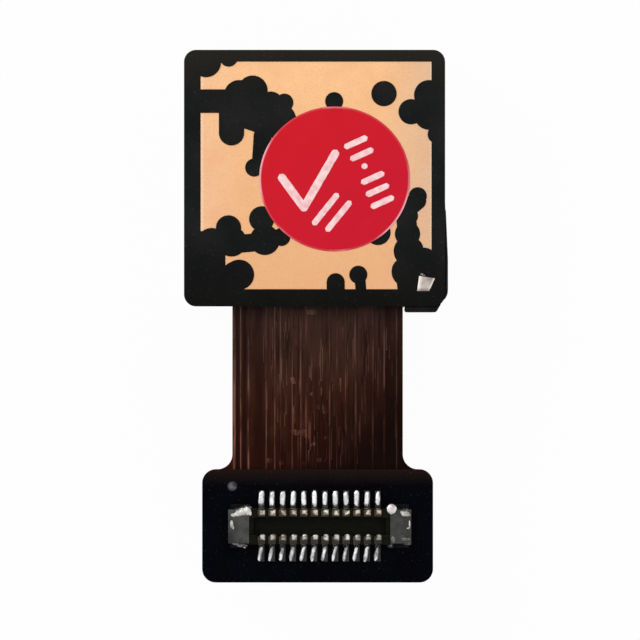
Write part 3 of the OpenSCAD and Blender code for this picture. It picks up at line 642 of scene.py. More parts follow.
def solder_lumps(name, lumps, origin, voxel, unevenness, material, slot, seed, floor=-math.inf, ceiling=math.inf):
    """Lumps of solder that ran together: round bodies merged, smoothed and roughened.

    Each lump is its centre and its three radii, in millimetres from the origin."""
    points, faces = [], []
    rings, spokes = 9, 16
    for centre, radii in lumps:
        faces += [tuple(index + len(points) for index in face) for face in ring_faces(rings, spokes)]
        points += ball_points(origin + Vector(centre), radii, rings, spokes)
    mesh = bpy.data.meshes.new(name)
    mesh.from_pydata(points, [], faces)
    holder = added(name + "_melt", mesh)
    merge = holder.modifiers.new("merge", "REMESH")
    merge.mode, merge.voxel_size = "VOXEL", voxel
    settle = holder.modifiers.new("settle", "SMOOTH")
    settle.factor, settle.iterations = 0.5, 4
    mesh = evaluated(holder)
    for vertex in mesh.vertices:
        shift = noise.noise(vertex.co * 4.5 + Vector((seed, 0, 0)))
        shift += 0.5 * noise.noise(vertex.co * 13 + Vector((0, seed, 0)))
        vertex.co += vertex.normal * shift * unevenness
        vertex.co.z = min(max(vertex.co.z, floor), ceiling)
    mesh.update()
    return place(name, in_metres(mesh), material, slot)


pad_low, pad_high = (corner * 1000 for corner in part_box("corner_pad"))
dress(hand_tinned(pad_low, pad_high), "corner_pad")
solder_lumps("corner_pad_bead", [((0, 0, 0), (0.06, 0.05, 0.04)), ((0.07, -0.03, 0), (0.06, 0.03, 0.025))],
             Vector((pad_low.x + 0.16, pad_high.y + 0.05, pad_low.z + 0.02)), 0.008, 0.01,
             tin_skin("bead_tin", shade(166, 164, 160), shade(104, 102, 98), 0.34), "pad_tin", seed=3)


# ---------------------------------------------------------------- inspection sticker
# A disc of printed vinyl, pressed over the mask: it sags a little between the raised dots, its
# cut edge is pale, with painted highlights at the left and lower right, and its ink is a tick and a row of tally bars,
# stamped at a slant.

def surface_under(*nodes):
    """A tree of the nodes' faces, in millimetres, to be asked how high they stand."""
    points, faces = [], []
    for name in nodes:
        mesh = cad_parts[name].data
        start = len(points)
        points += [vertex.co * 1000 for vertex in mesh.vertices]
        faces += [tuple(start + index for index in polygon.vertices) for polygon in mesh.polygons]
    return BVHTree.FromPolygons(points, faces)


def height_at(surface, x, y, otherwise):
    """How high the surface stands at a place, or otherwise where there is none."""
    hit = surface.ray_cast(Vector((x, y, 20)), Vector((0, 0, -1)))[0]
    return hit.z if hit else otherwise


def red_vinyl(centre, radius, squash):
    """Printed red, with painted light that leaves it a little darker and bluer at the lower right, and a pale cut edge
    that is partly its own colour and partly painted highlight.
    """
    material, tree, shader, where = finish("red_vinyl", shade(214, 24, 44), 0.4, specular=0.07, centre=centre)
    # Painted light: lighter at the upper left, darker and a little bluer at the lower right
    lean = maths(tree, "SUBTRACT", axis(tree, where, "X"), axis(tree, where, "Y"))
    tone = run(tree, level(tree, lean, -3, 3, 0, 1), 0.1, 0.9, shade(213, 26, 42), shade(207, 24, 46))
    patches = level(tree, grain(tree, where, 0.9, detail=4), 0.38, 0.68, 0, 0.22)
    tone = mixed(tree, patches, tone, shade(196, 18, 42))
    # Pale cut edge: patches of its own paler colour, and painted highlights where it faces the left and the lower
    # right
    rubbing_and_painted_highlight = level(tree, grain(tree, where, 0.75), 0.46, 0.62, 0.1, 0.6)
    for turn in (math.radians(172), math.radians(-32)):
        side = node(tree, "ShaderNodeVectorMath", {0: where, 1: (math.cos(turn), math.sin(turn), 0)},
                    operation="DOT_PRODUCT").outputs["Value"]
        rubbing_and_painted_highlight = maths(tree, "MAXIMUM", rubbing_and_painted_highlight, level(tree, side, radius * 0.86, radius * 0.95, 0, 1))
    edge = level(tree, from_axis(tree, where, squash), radius - 0.075, radius - 0.03, 0, 1)
    paint(tree, shader, mixed(tree, maths(tree, "MULTIPLY", edge, rubbing_and_painted_highlight), tone, shade(248, 178, 186)),
          grain(tree, where, 5), 0.32, 0.5)
    relief(tree, shader, grain(tree, where, 3.5), 0.004)
    return material


def pressed_disc(centre, radius, squash, thickness, surface, rings=44, spokes=160):
    """Closed film, a little shorter than wide, that bridges the steps between the dots below it."""
    turns = [2 * math.pi * spoke / spokes for spoke in range(spokes)]

    def spot(reach, turn):
        return centre.x + reach * math.cos(turn), centre.y + squash * reach * math.sin(turn)

    base = [[height_at(surface, *spot(radius * ring / rings, turn), centre.z) for turn in turns]
            for ring in range(rings + 1)]
    heights = [row[:] for row in base]
    for _ in range(9):
        heights = [[max(base[ring][spoke], (heights[max(ring - 1, 0)][spoke] + heights[min(ring + 1, rings)][spoke]
                                            + heights[ring][spoke - 1] + heights[ring][(spoke + 1) % spokes]) / 4)
                    for spoke in range(spokes)] for ring in range(rings + 1)]
    middle = sum(heights[0]) / spokes
    under = 0.03
    # Rings over the top, round the cut edge and back underneath: the height's ring, reach, share of the thickness
    rows = [(ring, radius * ring / rings, 1.0) for ring in range(1, rings)]
    rows += [(rings, radius - 0.012, 0.97), (rings, radius, 0.72), (rings, radius, 0.2), (rings, radius - 0.01, under)]
    rows += [(ring, radius * ring / rings, under) for ring in range(rings - 1, 0, -4)]
    points = [Vector((centre.x, centre.y, middle + thickness))]
    for ring, reach, share in rows:
        points += [Vector((*spot(reach, turn), height + thickness * share))
                   for turn, height in zip(turns, heights[ring])]
    points.append(Vector((centre.x, centre.y, middle + thickness * under)))
    mesh = bpy.data.meshes.new("sticker_film")
    mesh.from_pydata(points, [], ring_faces(len(rows), spokes))
    return mesh


def stroke(points, faces, start, end, width, top, lift):
    """One inked bar with round ends, laid on the film's top surface as a thin closed strip."""
    along = (end - start).normalized()
    aside = Vector((-along.y, along.x))
    length, half = (end - start).length, width / 2
    steps = max(8, int((length + width) / 0.06))
    across = (-1, -0.86, -0.45, 0, 0.45, 0.86, 1)
    rows = []
    for step in range(steps + 1):
        reach = -half + (length + width) * step / steps
        past = max(-reach, reach - length, 0) / half
        blot = 1 + 0.07 * noise.noise(Vector((reach * 6, start.x * 9, start.y)))
        wide = half * math.sqrt(max(1 - past * past, 0.0004)) * blot
        row = []
        for share in across:
            spot = start + along * reach + aside * wide * share
            row.append((spot.x, spot.y, height_at(top, *spot, 0) + (lift if abs(share) < 0.9 else 0.0006)))
        rows.append(row + [(x, y, z - 2 * lift) for x, y, z in reversed(row)])
    first, loop = len(points), 2 * len(across)
    points += [spot for row in rows for spot in row]
    for step in range(steps):
        here, there = first + step * loop, first + (step + 1) * loop
        for index in range(loop):
            beside = (index + 1) % loop
            faces.append((here + index, here + beside, there + beside, there + index))
    faces.append(tuple(first + index for index in reversed(range(loop))))
    faces.append(tuple(first + steps * loop + index for index in range(loop)))


def pale_ink(centre):
    material, tree, shader, where = finish("pale_ink", shade(255, 216, 216), 0.5, specular=0.1, centre=centre)
    wear_and_painted_light = grain(tree, where, 4, detail=5)
    paint(tree, shader, run(tree, wear_and_painted_light, 0.34, 0.6, shade(248, 186, 190), shade(255, 226, 224)), wear_and_painted_light, 0.42, 0.6)
    relief(tree, shader, grain(tree, where, 14), 0.002)
    return material


# The disc was put on by hand, a little off the place that is meant for it, and not quite round
STICKER_SHIFT = Vector((-0.015, 0.05, 0))
STICKER_SQUASH = 0.96
sticker_low, sticker_high = (corner * 1000 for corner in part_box("inspection_sticker"))
sticker_centre = (sticker_low + sticker_high) / 2 + STICKER_SHIFT
sticker_centre.z = sticker_low.z
sticker_radius = (sticker_high.x - sticker_low.x) / 2
film = pressed_disc(sticker_centre, sticker_radius, STICKER_SQUASH, sticker_high.z - sticker_low.z,
                    surface_under("solder_mask", "ground_plane"))
film_top = BVHTree.FromPolygons([vertex.co for vertex in film.vertices],
                                [tuple(polygon.vertices) for polygon in film.polygons])
sticker = place("sticker_film", in_metres(film), red_vinyl(sticker_centre / 1000, sticker_radius, STICKER_SQUASH),
                "sticker_red")
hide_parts("inspection_sticker")

# Each stroke of the ink is its start and its end from the sticker's centre, its width and its height on the film
TICK = [((-1.75, 0.05), (-1.02, -0.95), 0.27, 0.004), ((-1.02, -0.95), (0.02, 0.85), 0.27, 0.006)]
UNDERLINES = [((-0.66, -1.45), (0.06, -0.55), 0.2, 0.004), ((-0.22, -1.66), (0.48, -0.8), 0.2, 0.004)]
TALLY = [((x, y), (x + 0.6, y + 0.27), 0.2, 0.004)
         for x, y in ((0.4, 1.08), (0.6, 0.68), (0.96, -0.1), (1.12, -0.5), (1.28, -0.9))]
DOT = [((0.98, 0.42), (1.0, 0.43), 0.19, 0.004)]
ink_points, ink_faces = [], []
for start, end, width, lift in TICK + UNDERLINES + TALLY + DOT:
    stroke(ink_points, ink_faces, sticker_centre.xy + Vector(start), sticker_centre.xy + Vector(end),
           width, film_top, lift)
ink = bpy.data.meshes.new("sticker_ink")
ink.from_pydata(ink_points, [], ink_faces)
place("sticker_ink", in_metres(ink), pale_ink(sticker_centre / 1000), "sticker_red")


# ---------------------------------------------------------------- flexible tail
# Dark amber film over etched copper. The traces show as fine lines that run from board to
# board and jog round vias, and small pads show through as paler patches.

film_face = 1000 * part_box("flex_circuit")[1].z
head_end = 1000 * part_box("head_board_rear")[0].y
plug_end = 1000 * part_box("connector_board")[1].y
tail_length = head_end - plug_end
TAIL_LEFT, TAIL_RIGHT = -2.75, 2.95
# From the head down: the film's tone at a share of the tail's length
FALL = [(0, (34, 24, 22)), (0.1, (58, 38, 32)), (0.5, (60, 31, 21)), (0.8, (48, 18, 8)), (1, (50, 17, 8))]
# Where the film lies over no copper, it is nearly black: distance from the optical axis, and depth of tone
GAPS = [(TAIL_LEFT, 0), (-2.66, 0), (-2.56, 0.8), (-2.46, 0.1), (-2.32, 0.85), (-2.2, 0.1), (-2.05, 0.2),
        (-1.82, 0.65), (-1.65, 0.1), (-0.9, 0.05), (1.5, 0.1), (2.25, 0.2), (2.42, 0.7), (2.6, 0.55),
        (TAIL_RIGHT, 0.6)]
# Traces: distance from the optical axis, and width
EDGE_LINES = [(-2.66, 0.09), (-2.45, 0.04), (-2.19, 0.06)]
MAIN_LINES = [(-1.6, 0.05), (-1.32, 0.05), (-1.13, 0.045), (-0.74, 0.04), (-0.46, 0.05), (-0.28, 0.05),
              (0.5, 0.045), (0.74, 0.04), (1.03, 0.05), (1.35, 0.055), (1.93, 0.06), (2.31, 0.06), (2.72, 0.05)]
# Pads: distance from the optical axis, distance from the head's edge, width, length and turn
PADS = [(-0.06, 0.18, 0.44, 0.18, 0), (0.05, 3.32, 0.3, 0.16, -25), (0.34, 3.42, 0.14, 0.3, 12),
        (-0.72, 2.46, 0.14, 0.26, 20), (-0.62, 4.18, 0.26, 0.2, -10), (-0.34, 4.22, 0.16, 0.3, 8),
        (0.42, 4.36, 0.2, 0.12, 0), (-0.06, 4.58, 0.18, 0.12, 35), (0.14, 5.1, 0.24, 0.14, 10),
        (-1.48, 5.12, 0.2, 0.18, 0), (-1.1, 5.2, 0.16, 0.16, 15), (-0.36, 5.22, 0.2, 0.14, -8),
        (-0.08, 2.9, 0.16, 0.12, 30)]


def amber_film(name, copper, shadow=0.0):
    """The film is greyer near the head, redder near the plug, and darkest at its lower right, where shade is painted.

    Copper is how strongly the metal shows through, and shadow how dark the film is between the traces."""
    material, tree, shader, where = finish(name, shade(50, 26, 18), 0.36, specular=0.03)
    across, along = axis(tree, where, "X"), axis(tree, where, "Y")
    down = level(tree, along, head_end, plug_end, 0, 1)
    streaks = grain(tree, where, 9, stretch=(1, 0.07, 1), detail=5)
    tone = ramp(tree, down, [(stop, shade(*colour)) for stop, colour in FALL])
    tone = mixed(tree, level(tree, streaks, 0.42, 0.7, 0, 0.6), tone, shade(20, 9, 6))
    blots = grain(tree, where, 1.7, stretch=(1, 0.5, 1), detail=4)
    tone = mixed(tree, level(tree, blots, 0.5, 0.68, 0, 0.3), tone, shade(76, 48, 38))
    gaps = ramp(tree, level(tree, across, TAIL_LEFT, TAIL_RIGHT, 0, 1),
                [((x - TAIL_LEFT) / (TAIL_RIGHT - TAIL_LEFT), (depth, depth, depth, 1)) for x, depth in GAPS])
    tone = mixed(tree, gaps, tone, shade(22, 5, 3))
    if copper:
        shown = level(tree, grain(tree, where, 1.1, stretch=(7, 0.7, 1), detail=3), 0.42, 0.64, 0.02, copper)
        shown = maths(tree, "MULTIPLY", shown, level(tree, down, 0, 0.5, 0.45, 1))
        tone = mixed(tree, shown, tone, run(tree, down, 0.1, 0.8, shade(134, 110, 96), shade(154, 98, 84)))
    if shadow:
        tone = mixed(tree, shadow, tone, shade(13, 4, 3))
    # Painted shade towards the tail's lower right corner
    to_corner = level(tree, maths(tree, "SUBTRACT", across, along), 7.6, 10.8, 0, 0.62 if copper else 0.9)
    paint(tree, shader, mixed(tree, to_corner, tone, shade(15, 4, 1)), streaks, 0.28, 0.46)
    relief(tree, shader, streaks, 0.003, relief(tree, shader, grain(tree, where, 1.2, stretch=(1, 0.3, 1)), 0.012))
    return material


def vector(tree, x=0.0, y=0.0, z=0.0):
    return node(tree, "ShaderNodeCombineXYZ", {"X": x, "Y": y, "Z": z}).outputs[0]


def growing_tree(name, inputs, output):
    """An empty Geometry Nodes tree, its inputs' identifiers, and the sockets that give their values."""
    tree = bpy.data.node_groups.new(name, "GeometryNodeTree")
    names = {label: tree.interface.new_socket(label, in_out="INPUT", socket_type="NodeSocket" + kind).identifier
             for label, kind in inputs}
    tree.interface.new_socket(output, in_out="OUTPUT", socket_type="NodeSocketGeometry")
    return tree, names, node(tree, "NodeGroupInput").outputs


def trace_tree():
    """Copper lines under the film: one from each point, of the point's own length and width."""
    tree, names, given = growing_tree("traces_under_film", (
        ("Starts", "Geometry"), ("Line Height", "Float"), ("Jog Size", "Float"), ("Jog Step", "Float"),
        ("Jogs per mm", "Float"), ("Pattern", "Float"), ("Finish", "Material")), "Lines")
    length, width = (node(tree, "GeometryNodeInputNamedAttribute", {"Name": name}, data_type="FLOAT").outputs[0]
                     for name in ("length", "width"))
    line = node(tree, "GeometryNodeCurvePrimitiveLine", {"Start": (0, 0, 0), "End": (0, -1, 0)})
    fine = node(tree, "GeometryNodeResampleCurve", {"Curve": line.outputs[0], "Count": 72})
    lines = node(tree, "GeometryNodeInstanceOnPoints", {
        "Points": given["Starts"], "Instance": fine.outputs[0], "Scale": vector(tree, 1.0, length, 1.0)})
    kept = node(tree, "GeometryNodeRealizeInstances", {"Geometry": lines.outputs[0]})
    where = node(tree, "GeometryNodeInputPosition").outputs[0]
    x, y, z = (axis(tree, where, name) for name in "XYZ")
    wander = node(tree, "ShaderNodeTexNoise", {
        "Vector": vector(tree, x, y, given["Pattern"]), "Scale": given["Jogs per mm"], "Detail": 1.0}).outputs["Fac"]
    swing = maths(tree, "MULTIPLY", maths(tree, "SUBTRACT", wander, 0.5), given["Jog Size"])
    jog = vector(tree, maths(tree, "SNAP", swing, given["Jog Step"]))
    moved = node(tree, "GeometryNodeSetPosition", {"Geometry": kept.outputs[0], "Offset": jog})
    upright = node(tree, "GeometryNodeSetCurveNormal", {"Curve": moved.outputs[0]}, mode="Z_UP")
    profile = node(tree, "GeometryNodeCurvePrimitiveCircle", {"Resolution": 8, "Radius": 0.5}, mode="RADIUS")
    tubes = node(tree, "GeometryNodeCurveToMesh", {
        "Curve": upright.outputs[0], "Profile Curve": profile.outputs[0], "Scale": width, "Fill Caps": True})
    flat = vector(tree, x, y, maths(tree, "MULTIPLY", z, given["Line Height"]))
    pressed = node(tree, "GeometryNodeSetPosition", {"Geometry": tubes.outputs[0], "Position": flat})
    real = node(tree, "GeometryNodeRealizeInstances", {"Geometry": pressed.outputs[0]})
    dressed = node(tree, "GeometryNodeSetMaterial", {"Geometry": real.outputs[0], "Material": given["Finish"]})
    node(tree, "NodeGroupOutput", {"Lines": dressed.outputs[0]})
    return tree, names


def grown(name, points, attributes, tree, names, settings):
    """The mesh that a Geometry Nodes tree grows from points in millimetres."""
    seeds = bpy.data.meshes.new(name + "_points")
    seeds.from_pydata(points, [], [])
    for attribute, values in attributes.items():
        seeds.attributes.new(attribute, "FLOAT", "POINT").data.foreach_set("value", values)
    holder = added(name + "_points", seeds)
    modifier = holder.modifiers.new("grow", "NODES")
    modifier.node_group = tree
    for setting, value in settings.items():
        modifier[names[setting]] = value
    return evaluated(holder)


def traces(name, lines, tree_and_names, material, jog=0.0, pattern=0.0):
    """Lines are (x, start from the head's edge, length, width), in millimetres, on the film's top."""
    starts = [(x, head_end - start, 0.0) for x, start, _, _ in lines]
    sizes = {"length": [length for _, _, length, _ in lines], "width": [width for _, _, _, width in lines]}
    mesh = grown(name, starts, sizes, *tree_and_names, {
        "Line Height": 0.16, "Jog Size": jog, "Jog Step": 0.05, "Jogs per mm": 0.55, "Pattern": pattern,
        "Finish": material})
    mesh.transform(Matrix.Translation((0, 0, film_face)))
    place(name, in_metres(mesh), material, "polyimide_film")


def buried_pads(name, pads, material, corners=12):
    """Rounded copper pads that show through the film."""
    points, faces = [], []
    for x, y, wide, long, turn in pads:
        first = len(points)
        for height, share in ((-0.004, 1.0), (0.002, 1.0), (0.006, 0.82)):
            for corner in range(corners):
                angle = 2 * math.pi * (corner + 0.5) / corners
                bend = 1 / max(abs(math.cos(angle)), abs(math.sin(angle))) ** 0.6
                spot = Vector((wide / 2 * share * bend * math.cos(angle), long / 2 * share * bend * math.sin(angle)))
                spot.rotate(Matrix.Rotation(math.radians(turn), 2))
                points.append((x + spot.x, head_end - y + spot.y, film_face + height))
        for low in (first, first + corners):
            for corner in range(corners):
                beside = (corner + 1) % corners
                faces.append((low + corner, low + beside, low + corners + beside, low + corners + corner))
        faces.append(tuple(first + 2 * corners + corner for corner in range(corners)))
        faces.append(tuple(first + corner for corner in reversed(range(corners))))
    mesh = bpy.data.meshes.new(name)
    mesh.from_pydata(points, [], faces)
    place(name, in_metres(mesh), material, "polyimide_film")


dress(amber_film("amber_film", 0), "flex_circuit")
line_finish = amber_film("amber_over_copper", 0.34)
gap_finish = amber_film("amber_between_copper", 0, shadow=0.6)
edge_finish = amber_film("amber_over_edge_line", 0.55)
pad_finish = amber_film("amber_over_pads", 0.56)
line_tree = trace_tree()
traces("tail_traces", [(x, 0, tail_length, width) for x, width in MAIN_LINES], line_tree, line_finish)
traces("tail_edge_traces", [(x, 0, tail_length, width) for x, width in EDGE_LINES], line_tree, edge_finish)
draw = random.Random(7)
for name, count, material, widths in (("tail_short_traces", 96, line_finish, (0.022, 0.03, 0.042)),
                                      ("tail_trace_gaps", 64, gap_finish, (0.02, 0.028, 0.036))):
    short_lines = []
    for column in range(count):
        x = -1.62 + 4.3 * column / count + draw.uniform(-0.05, 0.05)
        start = draw.uniform(0.05, tail_length - 0.5)
        length = min(draw.uniform(0.25, 1.5), tail_length - start - 0.05)
        short_lines.append((x, start, length, draw.choice(widths)))
    traces(name, short_lines, line_tree, material, jog=0.22, pattern=4.0)
buried_pads("tail_pads", PADS, pad_finish)


# ---------------------------------------------------------------- connector board
# The film ends in a small rigid board with a deeper, slightly blue black mask. A bare round dot
# marks its first contact, and a rolled stainless sheet is glued on behind it.

def rolled_stainless():
    material, tree, shader, where = finish("rolled_stainless", shade(186, 186, 184), 0.34, metallic=1.0)
    rolled = grain(tree, where, 20, stretch=(0.04, 1, 1), detail=5)
    tone = run(tree, grain(tree, where, 0.9), 0.35, 0.7, shade(182, 182, 180), shade(192, 192, 190))
    paint(tree, shader, tone, rolled, 0.26, 0.46)
    relief(tree, shader, rolled, 0.0012)
    return material


def worn_dot(low, high):
    """A bare dot, dull at its edge and rubbed a little brighter in its middle."""
    material, tree, shader, where = finish("worn_dot", shade(74, 71, 78), 0.5, metallic=1.0, centre=(low + high) / 2)
    radius = 500 * (high.x - low.x)
    edge = level(tree, from_axis(tree, where), 0.45 * radius, radius, 0, 0.9)
    rubbing_and_painted_highlight = grain(tree, millimetres(tree), 7)
    tone = run(tree, rubbing_and_painted_highlight, 0.38, 0.6, shade(60, 57, 64), shade(104, 100, 108))
    paint(tree, shader, mixed(tree, edge, tone, shade(30, 28, 34)))
    relief(tree, shader, rubbing_and_painted_highlight, 0.004)
    return material


dress(black_mask("plug_board_mask", shade(1, 1, 5), shade(2, 4, 9), 0.02,
                 [(shade(34, 22, 19), plug_end - 0.55, plug_end)]), "connector_board")
dress(rolled_stainless(), "connector_stiffener")
dress(worn_dot(*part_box("pin_one_dot")), "pin_one_dot")


# ---------------------------------------------------------------- plug housing
# The plug's housing is moulded from black liquid-crystal polymer: matt, with short flow lines
# along the row and pale glass specks.

def moulded_plug():
    material, tree, shader, where = finish("moulded_plug", shade(17, 16, 12), 0.58, specular=0.06)
    flow = grain(tree, where, 10, stretch=(0.25, 1, 1), detail=4)
    specks = level(tree, grain(tree, where, 32, detail=1), 0.7, 0.76, 0, 0.4)
    body = run(tree, flow, 0.35, 0.7, shade(8, 8, 4), shade(20, 20, 13))
    paint(tree, shader, mixed(tree, specks, body, shade(96, 92, 80)), flow, 0.5, 0.68)
    relief(tree, shader, flow, 0.003)
    return material


dress(moulded_plug(), "connector_housing")


# ---------------------------------------------------------------- contacts and their solder
# Each contact is a formed strip, flashed with gold where the mating plug rubs and tinned on its
# foot. Reflowed solder wets the foot in a long rounded fillet, a little different on each one. Painted highlights mark
# the crests and the tops of the fillets, and painted shade their flanks.

def beside(tree, value, middle, near, far, most):
    """Rises from 0 at the distance near from the middle to its most at the distance far."""
    away = maths(tree, "ABSOLUTE", maths(tree, "SUBTRACT", value, middle))
    return level(tree, away, near, far, 0, most)


def own_place(tree, where, row_start, pitch, lean=0.0):
    """How far to the right of its own contact's middle a point lies, on a row whose tips lean."""
    slide = maths(tree, "MULTIPLY_ADD", axis(tree, where, "Y"), lean, -row_start)
    return maths(tree, "WRAP", maths(tree, "ADD", axis(tree, where, "X"), slide), pitch / 2, -pitch / 2)


def formed_contact(name, bright, dull, row_start, pitch, crest, reach, side):
    """Gold flash or bare alloy, rubbed bright along the crest and shown there as a painted highlight at a given place
    across each contact, with painted shade on the rest.
    """
    material, tree, shader, where = finish(name, dull, 0.3, metallic=1.0)
    flecks = grain(tree, where, 8)
    head = run(tree, grain(tree, where, 3.1, stretch=(1, 0.1, 0.1), detail=1), 0.35, 0.65, bright, dull)
    head = mixed(tree, level(tree, flecks, 0.44, 0.6, 0, 0.85), head, shade(92, 78, 62))
    wander = level(tree, grain(tree, where, 5, detail=1), 0.3, 0.7, -0.03, 0.03)
    across = maths(tree, "ADD", axis(tree, where, "Y"), wander)
    # Painted highlight at the crest, to one side of each contact; elsewhere the body's painted shade
    wear_and_painted_light = maths(tree, "MAXIMUM", beside(tree, across, crest, reach, reach + 0.06, 0.95),
                 beside(tree, own_place(tree, where, row_start, pitch), side, 0.04, 0.095, 0.93))
    # Painted shade on the flanks
    body = run(tree, flecks, 0.36, 0.64, shade(22, 21, 18), shade(50, 47, 42))
    paint(tree, shader, mixed(tree, wear_and_painted_light, head, body), flecks, 0.2, 0.46)
    relief(tree, shader, flecks, 0.008)
    return material


def fillet_tree():
    """A lump of solder on each point: a stretched ball, scaled, leant, pitted and cut off at the board."""
    tree, names, given = growing_tree("solder_on_feet", (
        ("Feet", "Geometry"), ("Fillet Width", "Float"), ("Fillet Length", "Float"), ("Fillet Height", "Float"),
        ("Straight Share", "Float"), ("Lean", "Float"), ("Lean Spread", "Float"), ("Pitting", "Float"),
        ("Board Height", "Float"), ("Batch", "Int"), ("Finish", "Material")), "Fillets")
    where = node(tree, "GeometryNodeInputPosition").outputs[0]
    x, y, z = (axis(tree, where, name) for name in "XYZ")

    def drawn(low, high, offset):
        """A number of each foot's own, between low and high."""
        seed = maths(tree, "ADD", given["Batch"], offset)
        return node(tree, "FunctionNodeRandomValue", {2: low, 3: high, "Seed": seed}, data_type="FLOAT").outputs[1]

    ball = node(tree, "GeometryNodeMeshUVSphere", {"Segments": 20, "Rings": 14, "Radius": 0.5})
    apart = maths(tree, "MULTIPLY", maths(tree, "SIGN", y), given["Straight Share"])
    long = node(tree, "GeometryNodeSetPosition", {"Geometry": ball.outputs[0], "Offset": vector(tree, 0.0, apart)})
    size = vector(tree, *[maths(tree, "MULTIPLY", given[side], drawn(1 - spread, 1 + spread, offset))
                          for side, spread, offset in (("Fillet Width", 0.1, 0.0), ("Fillet Length", 0.08, 17.0),
                                                       ("Fillet Height", 0.15, 31.0))])
    turn = maths(tree, "MULTIPLY_ADD", drawn(-1.0, 1.0, 47.0), given["Lean Spread"], given["Lean"])
    lumps = node(tree, "GeometryNodeInstanceOnPoints", {
        "Points": given["Feet"], "Instance": long.outputs[0], "Rotation": vector(tree, 0.0, 0.0, turn), "Scale": size})
    each = node(tree, "GeometryNodeRealizeInstances", {"Geometry": lumps.outputs[0]})
    pits = node(tree, "ShaderNodeTexNoise", {"Scale": 9.0, "Detail": 2.0}).outputs["Fac"]
    depth = maths(tree, "MULTIPLY", maths(tree, "SUBTRACT", pits, 0.5), given["Pitting"])
    out = node(tree, "ShaderNodeVectorMath", {0: node(tree, "GeometryNodeInputNormal").outputs[0], "Scale": depth},
               operation="SCALE").outputs[0]
    uneven = node(tree, "GeometryNodeSetPosition", {"Geometry": each.outputs[0], "Offset": out})
    above = vector(tree, x, y, maths(tree, "MAXIMUM", z, given["Board Height"]))
    wetted = node(tree, "GeometryNodeSetPosition", {"Geometry": uneven.outputs[0], "Position": above})
    real = node(tree, "GeometryNodeRealizeInstances", {"Geometry": wetted.outputs[0]})
    dressed = node(tree, "GeometryNodeSetMaterial", {"Geometry": real.outputs[0], "Material": given["Finish"]})
    node(tree, "NodeGroupOutput", {"Fillets": dressed.outputs[0]})
    return tree, names


def solder_metal(name, bright, dull, roughness):
    """Cooled solder: bright with dull grainy patches. Returns its tone too, for what lies over it."""
    material, tree, shader, where = finish(name, bright, roughness, metallic=1.0)
    tone = run(tree, grain(tree, where, 4.5, detail=4), 0.38, 0.62, dull, bright)
    frost = grain(tree, where, 22)
    paint(tree, shader, tone, frost, roughness - 0.08, roughness + 0.16)
    relief(tree, shader, frost, 0.003)
    return material, tree, shader, where, tone


def wetted_foot(name, bright, dull, roughness, row_start, pitch, streak, width, lean):
    """Solder on the feet of a row: a painted highlight along each one, and painted shade that greys its flanks down to
    the board.
    """
    material, tree, shader, where, tone = solder_metal(name, bright, dull, roughness)
    wander = level(tree, grain(tree, where, 3.3, stretch=(0.8, 1, 1), detail=2), 0.3, 0.7, -0.025, 0.025)
    own = maths(tree, "ADD", own_place(tree, where, row_start, pitch, lean), wander)
    # Painted highlight along each fillet's top, and painted shade in grey on its flanks
    paint(tree, shader, mixed(tree, beside(tree, own, streak, width, width + 0.045, 0.9), tone, shade(66, 66, 68)))
    return material


CONTACTS = 12
CONTACT_WIDTH = 0.24
FOOT_INNER = 0.6
UPPER_CREST, LOWER_CREST = 0.475, -0.345
upper_low, upper_high = (corner * 1000 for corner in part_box("contact_row_upper"))
lower_low = 1000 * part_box("contact_row_lower")[0]
plug_middle = Vector(((upper_low.x + upper_high.x) / 2, (upper_high.y + lower_low.y) / 2,
                      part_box("connector_pads")[0].z * 1000))
contact_pitch = (upper_high.x - upper_low.x - CONTACT_WIDTH) / (CONTACTS - 1)
row_start = plug_middle.x - (CONTACTS - 1) / 2 * contact_pitch
foot_outer = upper_high.y - plug_middle.y
board_level = plug_middle.z + 0.01
solder_tree = fillet_tree()


def along_row(shift, y, z):
    """A point at each contact of a row."""
    return [(row_start + column * contact_pitch + shift, y, z) for column in range(CONTACTS)]


# The lower row's solder has darker tones than the upper row's: painted shade
for name, side, bright, dull, shift, streak, width, slant, wide, batch in (
        ("solder_upper", 1, (252, 252, 254), (206, 207, 210), 0.0, -0.03, 0.064, -0.02, 0.2, 3),
        ("solder_lower", -1, (240, 240, 242), (140, 141, 145), -0.035, -0.01, 0.024, -0.2, 0.17, 11)):
    middle = plug_middle.y + side * (FOOT_INNER + foot_outer) / 2
    metal = wetted_foot(name, shade(*bright), shade(*dull), 0.25, row_start + shift + slant * middle, contact_pitch,
                        streak, width, slant)
    fillets = grown(name, along_row(shift, middle, plug_middle.z + 0.075), {}, *solder_tree, {
        "Fillet Width": wide, "Fillet Length": (foot_outer - FOOT_INNER) * 0.59, "Fillet Height": 0.16,
        "Straight Share": 0.36, "Lean": slant, "Lean Spread": 0.05, "Pitting": 0.06,
        "Board Height": board_level, "Batch": batch, "Finish": metal})
    place(name, in_metres(fillets), metal, "contact_metal")

dress(formed_contact("upper_contact", shade(250, 245, 220), shade(204, 182, 162), row_start, contact_pitch,
                     plug_middle.y + UPPER_CREST, 0.04, 0.03), "contact_row_upper")
lower_contact = formed_contact("lower_contact", shade(224, 221, 212), shade(170, 166, 158), row_start, contact_pitch,
                               plug_middle.y + LOWER_CREST, 0.055, 0.035)
dress(lower_contact, "contact_row_lower")
crests = grown("lower_crests", along_row(0.035, plug_middle.y + LOWER_CREST, upper_high.z - 0.055), {}, *solder_tree, {
    "Fillet Width": 0.23, "Fillet Length": 0.2, "Fillet Height": 0.09, "Straight Share": 0.0,
    "Lean": 0.0, "Lean Spread": 0.1, "Pitting": 0.02, "Board Height": board_level, "Batch": 23,
    "Finish": lower_contact})
place("lower_crests", in_metres(crests), lower_contact, "contact_metal")


# ---------------------------------------------------------------- hold-down clips
# Tinned sheet clips hold the plug's ends. They were soldered by hand: a heap of solder lies on
# the left one's upper foot, and a bright ball and a small heap stand at the right one.

